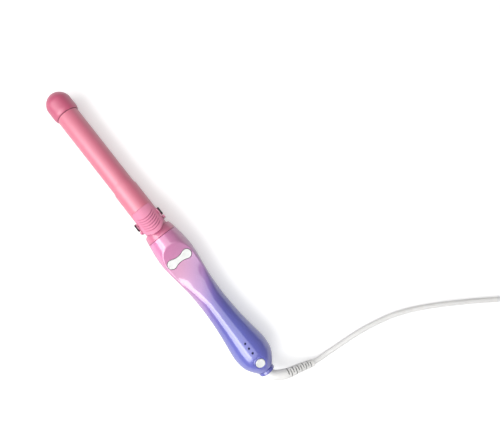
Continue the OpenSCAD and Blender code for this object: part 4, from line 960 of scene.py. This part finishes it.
bone = bone_points()
bone_at = np.array([p for p, m in bone])
bone_middle = np.array([m for p, m in bone])
bone_out = bone_at - bone_middle
bone_depth = np.linalg.norm(bone_out, axis=1)
bone_out = bone_out / bone_depth[:, None]


def bone_ring(grow, height):
    """A ring of the rocker's outline, grown, at a height or at a height for each point."""
    flat = bone_at + grow * bone_out
    return np.c_[flat, np.broadcast_to(height, len(flat))]


def scoop_lift(grow):
    """How far the scoop's floor lies over the rocker's own plane, along its outline, grown."""
    u = (bone_at + grow * bone_out)[:, 0]
    return SCOOP_R - np.sqrt(SCOOP_R ** 2 - u * u)


# Hole for the rocker, which widens to the scoop's floor by a rounded edge
rocker_hole = moved(loft([bone_ring(0.5, -14), bone_ring(0.5, scoop_lift(0.5) - 0.3),
                          bone_ring(0.58, scoop_lift(0.58) - 0.14), bone_ring(0.74, scoop_lift(0.74) - 0.02),
                          bone_ring(1.0, scoop_lift(1.0) + 0.12), bone_ring(1.0, 6)]), AT_ROCKER)
# Holes in the shells, each with a broken edge outside
window_holes = []
for wx in WINDOWS:
    wz = float(handle_r(wx))
    window_holes.append(moved(lathe([(wz - 6, 0), (wz - 6, 1.15), (wz - 0.22, 1.15), (wz - 0.06, 1.24),
                                     (wz + 0.1, 1.5), (wz + 2, 1.5), (wz + 2, 0)], 48),
                              Matrix.Translation((wx, 0, 0))))
button_hole = moved(lathe([(-12, 0), (-12, 5.4), (2, 5.4), (2, 0)], 96), AT_BUTTON)
BORE_R = 7.6
bores = [moved(lathe([(0, 0), (0, BORE_R), (long, BORE_R), (long, 0)], 64),
               Matrix.Translation((at, 0, 0)) @ ALONG_X) for at, long in ((HANDLE - 1, 6), (TAIL - 9, 10))]
front = build("front_shell_painted", [loft(half_rings(sx, sy, front_z, 1))])
carve(front, [build("cut_a", [room(1)]), build("cut_b", [rocker_hole] + window_holes),
              build("cut_c", [button_hole]), build("cut_d", bores)])
dress(front, "handle", ombre_paint, ("front_shell",), 30)
# Faces inside the shell and in its holes get the near-black colour, partly painted shade
mark_faces(front, "bare_and_shade", bare_and_shaded_faces)

back = build("back_shell_painted", [loft(half_rings(sx, sy, np.minimum(sz, AXIS), -1))])
wells = [moved(lathe([(-30, 0), (-30, 2.3), (-9.6, 2.3), (-9.5, 2.2), (-9.5, 1.5), (3, 1.5), (3, 0)], 40),
               Matrix.Translation((px, py, 0))) for px, py in SCREWS]
carve(back, [build("cut_a", [room(-1)]), build("cut_b", wells), build("cut_c", bores)])
dress(back, "handle", ombre_paint, ("back_shell",), 30)
# Faces inside the shell and in its screw wells get the near-black colour, partly painted shade
mark_faces(back, "bare_and_shade", bare_and_shaded_faces)

# Screws: a round head with a cross slot, up its well from the back
ARM, SLOT_HALF = 1.15, 0.22
screw_parts, slots = [], []
for px, py in SCREWS:
    line = fillet([(-11, 0, 0), (-11, 1.75, 0.35), (-10.4, 2.05, 0.2), (-9.5, 2.05, 0), (-9.5, 1.05, 0),
                   (4.5, 1.05, 0.3), (5, 0.5, 0), (5, 0, 0)])
    screw_parts.append(moved(lathe(line, 40), Matrix.Translation((px, py, 0))))
    cross = fillet([(ARM, SLOT_HALF, 0), (SLOT_HALF, SLOT_HALF, 0.1), (SLOT_HALF, ARM, 0),
                    (-SLOT_HALF, ARM, 0), (-SLOT_HALF, SLOT_HALF, 0.1), (-ARM, SLOT_HALF, 0),
                    (-ARM, -SLOT_HALF, 0), (-SLOT_HALF, -SLOT_HALF, 0.1), (-SLOT_HALF, -ARM, 0),
                    (SLOT_HALF, -ARM, 0), (SLOT_HALF, -SLOT_HALF, 0.1), (ARM, -SLOT_HALF, 0)], True, 2)
    slots.append(moved(loft([np.c_[np.array(cross), np.full(len(cross), z)] for z in (-12, -10.1)]),
                       Matrix.Translation((px, py, 0)) @ Matrix.Rotation(0.5, 4, "Z")))
screws = build("shell_screw_set", screw_parts)
carve(screws, [build("cut_a", slots)])
dress(screws, "handle", steel, ("shell_screws",))

# Rocker: its rim stands proud of the scoop and is rolled, and each lobe is dished for the thumb
PROUD, UNDER, RIM_ROLL, DISH_R, DISH_DEEP = 0.5, -2.2, 0.6, 4.6, 0.3


def rocker_height(ring, deep):
    """Height of the rocker's top: rounded at its edge, dished over each lobe."""
    ring = np.asarray(ring)
    off = np.minimum(np.hypot(ring[:, 0], ring[:, 1] - LOBE_Y), np.hypot(ring[:, 0], ring[:, 1] + LOBE_Y))
    dish = np.clip(1 - (off / DISH_R) ** 2, 0, 1) ** 1.5
    return PROUD - rolled(deep, RIM_ROLL) - DISH_DEEP * dish


rings = [bone_ring(-0.2, UNDER), bone_ring(-0.06, UNDER + 0.06), bone_ring(0, UNDER + 0.25),
         bone_ring(0, PROUD - 0.62)]
for deep in (0.02, 0.08, 0.18, 0.32, 0.6, 0.9, 1.4, 2.0, 2.6):
    flat = bone_at - bone_out * np.minimum(deep, bone_depth * 0.9)[:, None]
    rings.append(np.c_[flat, rocker_height(flat, deep)])
innermost = rings[-1][:, :2]
for share in (0.75, 0.5, 0.25, 0.0):
    flat = bone_middle + (innermost - bone_middle) * share
    rings.append(np.c_[flat, rocker_height(flat, 3.0)])
rocker_stem = box((-2.8, -1.7, -5.4), (2.8, 1.7, -2.0), 0.2)
rocker = build("rocker_button_cap", [moved(loft(rings), AT_ROCKER), moved(rocker_stem, AT_ROCKER)])
dress(rocker, "rocker", white_buttons, ("rocker_button",), 40)

# Power button: a dished cap with a skirt that keeps it in, and a stem to its switch
button_line = fillet([(-4.2, 0, 0), (-4.2, 1.6, 0), (-3.4, 1.6, 0), (-3.4, 6.3, 0.2), (-2.5, 6.3, 0.2),
                      (-2.5, 5.1, 0), (1.2, 5.1, 0.6), (1.2, 3.9, 0.3), (0.95, 2.9, 1.2), (0.9, 0, 0)],
                     steps=7)
dress(build("power_button_cap", [moved(lathe(button_line, 128), AT_BUTTON)]), "power",
      white_buttons, ("power_button",))

# Light windows: a pipe with a faint dome, just under the handle's skin
LENS_R = 1.08
lenses = []
for wx in WINDOWS:
    wz = float(handle_r(wx))
    dome = [(wz - 5.5, 0), (wz - 5.5, LENS_R), (wz - 0.2, LENS_R)]
    dome += [(wz - 0.2 + 0.16 * math.sin(a), LENS_R * math.cos(a)) for a in np.linspace(0.15, 1.4, 7)]
    dome += [(wz - 0.04, 0)]
    lenses.append(moved(lathe(dome, 40), Matrix.Translation((wx, 0, 0))))
dress(build("indicator_lenses", lenses), "handle", navy_windows, ("light_windows",))

# End flange, which the cord's core turns in
flange_line = fillet([(TAIL - 5.4, 5.6, 0), (TAIL - 5.4, 7.5, 0), (TAIL, 7.5, 0), (TAIL, 8.0, 0),
                      (TAIL + 0.9, 8.0, 0.2), (TAIL + 0.9, 9.1, 0.35), (END - 0.5, 9.1, 0.9),
                      (END, 8.0, 0.5), (END, 5.6, 0)], True)
turned("swivel_flange", flange_line, "handle", blue_gloss, ("swivel_collar",), 128, True)

# Strap round the coil, on edge through its middle, with the patch that closes it
STRAP_THICK, STRAP_HALF, STRAP_ROOM = 0.9, 6.0, 0.5
inner, outer = COIL_IN - CORD_R - STRAP_ROOM, COIL_OUT + CORD_R + STRAP_ROOM
top_z = COIL_LOW + (LAYERS - 1) * COIL_PITCH + CORD_R + 0.4
strap_route = fillet([(inner - 0.5, 0.5, 2.6), (outer + 0.5, 0.5, 2.6), (outer + 0.5, top_z + 0.5, 2.6),
                      (inner - 0.5, top_z + 0.5, 2.6)], True, 10)
strap_section = [(-STRAP_HALF + 0.4, 0), (-STRAP_HALF, 0.5), (-STRAP_HALF + 0.4, 1),
                 (STRAP_HALF - 0.4, 1), (STRAP_HALF, 0.5), (STRAP_HALF - 0.4, 0)]
strap_rings = [[(a[0] + (b[0] - a[0]) * share, wide, a[1] + (b[1] - a[1]) * share)
                for wide, share in strap_section]
               for a, b in zip(inset(strap_route, STRAP_THICK / 2), inset(strap_route, -STRAP_THICK / 2))]
strap_patch = box((outer - 17, -5.2, top_z + 0.9), (outer - 4, 5.2, top_z + 1.5), 0.25)
AT_TIE = Matrix.Translation((*coil_middle, 0)) @ Matrix.Rotation(math.radians(150), 4, "Z")
tie = dress(build("cord_strap", [moved(loft(strap_rings + strap_rings[:1]), AT_TIE),
                                 moved(strap_patch, AT_TIE)], 0),
            "cord", strap_black, ("cord_tie",))

# Plug
AT_PLUG = Matrix.Translation(PLUG) @ Matrix.Rotation(math.pi, 4, "Z")


def rounded_ring(x, wide, high, corner):
    """A rectangle round the plug's middle with rounded corners, half as wide and high as told."""
    corner = min(corner, wide - 0.01, high - 0.01)
    ring = []
    for side_y, side_z, start in ((1, 1, 0), (-1, 1, 90), (-1, -1, 180), (1, -1, 270)):
        for a in np.radians(np.linspace(start, start + 90, 13)):
            ring.append((x, side_y * (wide - corner) + corner * math.cos(a),
                         side_z * (high - corner) + corner * math.sin(a)))
    return ring


# The plug's neck has three grooves, then it widens to its grip, up to its face
PLUG_LEN, NECK_R, NECK_END, GROOVE_PITCH = 41.0, 4.15, 8.6, 2.2
WIDE_AT = ([0, NECK_END, 9.4, 11, 15, 19, 23, 27, PLUG_LEN],
           [NECK_R, NECK_R, 6.6, 8.3, 10.4, 11.8, 12.4, 12.5, 12.5])
HIGH_AT = ([0, NECK_END, 9.4, 11, 13.5, 16, 19, PLUG_LEN],
           [NECK_R, NECK_R, 5.6, 6.7, 7.9, 8.6, 8.8, 8.8])


def plug_ring(x):
    """The plug's section at a distance from its neck's end."""
    wide, high = np.interp(x, *WIDE_AT), np.interp(x, *HIGH_AT)
    if x < 8:
        if 1.5 < x < 7.7:
            off = abs((x - 0.8) % GROOVE_PITCH - 1.6) - 0.42
            wide -= 0.7 * max(0.0, 1 - max(0.0, off) / 0.16)
        high = wide = wide - rolled(x, 0.6)
    if x > 16:
        ribs = 0.75 + 0.25 * math.cos(x * math.pi / 1.5)
        wide -= 0.5 * (smooth_step((x - 17) / 3) - smooth_step((x - 31) / 3)) * ribs
    fall = rolled(PLUG_LEN - x, 0.8)
    return rounded_ring(x, wide - fall, high - fall, np.interp(x, [NECK_END, 11, 20], [NECK_R, 5, 4.5]))


plug_xs = [0, 0.2, 0.6]
plug_xs += [groove + o for groove in (1.6, 3.8, 6.0) for o in (0, 0.15, 0.3, 0.5, 1.1, 1.3, 1.45, 1.6)]
plug_xs += list(np.arange(8.4, 40, 0.5)) + [PLUG_LEN - o for o in (0.8, 0.5, 0.25, 0.08, 0)]
plug_rings = [plug_ring(x) for x in plug_xs]
plug = dress(build("plug_moulding", [moved(loft(plug_rings), AT_PLUG)], 0), "cord",
             relief_white, ("plug_body",), 40)
# Blades, one wider than the other, each with its hole
BLADE, BLADE_END, BLADE_THICK, HOLE_X, HOLE_R = 40.9, 58.0, 1.5, 54.6, 1.6
blade_parts, blade_holes = [], []
for by, tall in ((-6.35, 6.3), (6.35, 7.9)):
    h = tall / 2
    outline = fillet([(BLADE, -h, 0), (BLADE_END - 1, -h, 0), (BLADE_END, -h + 1.1, 0.4),
                      (BLADE_END, h - 1.1, 0.4), (BLADE_END - 1, h, 0), (BLADE, h, 0)], True)
    blade_parts.append(moved(plate(outline, by - BLADE_THICK / 2, by + BLADE_THICK / 2, 0.2, 3),
                             AT_PLUG @ TO_SIDE))
    blade_holes.append(moved(lathe([(by - 2, 0), (by - 2, HOLE_R), (by + 2, HOLE_R), (by + 2, 0)], 40),
                             AT_PLUG @ TO_SIDE @ Matrix.Translation((HOLE_X, 0, 0))))
blades = build("plug_blade_pair", blade_parts, 0)
carve(blades, [build("cut_a", blade_holes, 0)])
dress(blades, "cord", nickel, ("plug_blades",))

# Studio

# How pale the surface is for the light that it throws back and where it is seen, and what it adds
# there, so that only the deep part of the shadow shows
FLOOR_LIT, FLOOR_SEEN, FLOOR_GLOW = 0.56, 0.97, 0.31


def floor_material():
    """A white surface with a fine matt grain, which still takes the iron's shadow."""
    material, tree, shader, place = new_material("pale_studio_surface")
    fine = add(tree, "ShaderNodeTexNoise", Vector=(place, "Object"), Scale=1000 / 1.5, Detail=3.0,
               Roughness=0.5)
    gloss = add(tree, "ShaderNodeMapRange", Value=(fine, "Fac"), From_Min=0.3, From_Max=0.7,
                To_Min=0.82, To_Max=0.92)
    seen = add(tree, "ShaderNodeLightPath")
    mirrored_too = add(tree, "ShaderNodeMath", {"operation": "MAXIMUM"}, _0=(seen, "Is Camera Ray"),
                       _1=(seen, "Is Glossy Ray"))
    all_seen = add(tree, "ShaderNodeMath", {"operation": "MAXIMUM"}, _0=(mirrored_too, 0),
                   _1=(seen, "Is Transmission Ray"))
    tint = add(tree, "ShaderNodeMix", {"data_type": "RGBA"}, _0=(seen, "Is Camera Ray"),
               _6=(FLOOR_LIT, FLOOR_LIT, FLOOR_LIT, 1), _7=(FLOOR_SEEN, FLOOR_SEEN, FLOOR_SEEN, 1))
    glow = add(tree, "ShaderNodeMapRange", Value=(all_seen, 0), From_Min=0.0, From_Max=1.0, To_Min=0.0,
               To_Max=FLOOR_GLOW)
    set_inputs(tree, shader, Base_Color=(tint, 2), Roughness=(gloss, "Result"),
               Emission_Color=(1, 1, 1, 1), Emission_Strength=(glow, "Result"), Specular_IOR_Level=0.1)
    return material


mesh = bpy.data.meshes.new("surface")
made = bmesh.new()
bmesh.ops.create_grid(made, x_segments=8, y_segments=8, size=3.0)
made.to_mesh(mesh)
made.free()
surface_plane = bpy.data.objects.new("surface", mesh)
surface_plane.location = (0, 0, -0.0001)
surface_plane.data.materials.append(floor_material())
bpy.context.scene.collection.objects.link(surface_plane)


def softbox(name, place, aim, width, height, power):
    """A soft rectangular lamp, turned to its aim."""
    lamp = bpy.data.lights.new(name, "AREA")
    lamp.shape = "RECTANGLE"
    lamp.size, lamp.size_y = width, height
    lamp.energy = power
    holder = bpy.data.objects.new(name, lamp)
    holder.location = place
    holder.rotation_euler = (Vector(aim) - Vector(place)).to_track_quat("-Z", "Y").to_euler()
    bpy.context.scene.collection.objects.link(holder)


# A wide dim softbox overhead lights the iron, and a long narrow one on the tip-to-cord side
# makes the bright strip along it, as a window would.
PANEL_REACH, PANEL_UP = 0.75, math.radians(48)
softbox("slanted_softbox", (0.0, -PANEL_REACH * math.cos(PANEL_UP), PANEL_REACH * math.sin(PANEL_UP) + 0.02),
        (0.0, 0.0, 0.02), 1.1, 0.5, 5.2)
softbox("overhead_softbox", (0.0, -0.17, 1.1), (0.0, 0.0, 0.02), 1.5, 1.2, 5.6)

# The room is a little brighter on the panel's side
world = bpy.data.worlds.new("studio")
world.use_nodes = True
sky = world.node_tree.nodes["Background"]
sky.inputs["Color"].default_value = (1, 1, 1, 1)
way = add(world.node_tree, "ShaderNodeTexCoord")
sides = add(world.node_tree, "ShaderNodeSeparateXYZ", Vector=(way, "Generated"))
level = add(world.node_tree, "ShaderNodeMapRange", Value=(sides, "Y"), From_Min=-1.0, From_Max=1.0,
            To_Min=0.42, To_Max=0.25)
world.node_tree.links.new(level.outputs["Result"], sky.inputs["Strength"])
bpy.context.scene.world = world
bpy.context.scene.view_settings.view_transform = "Standard"
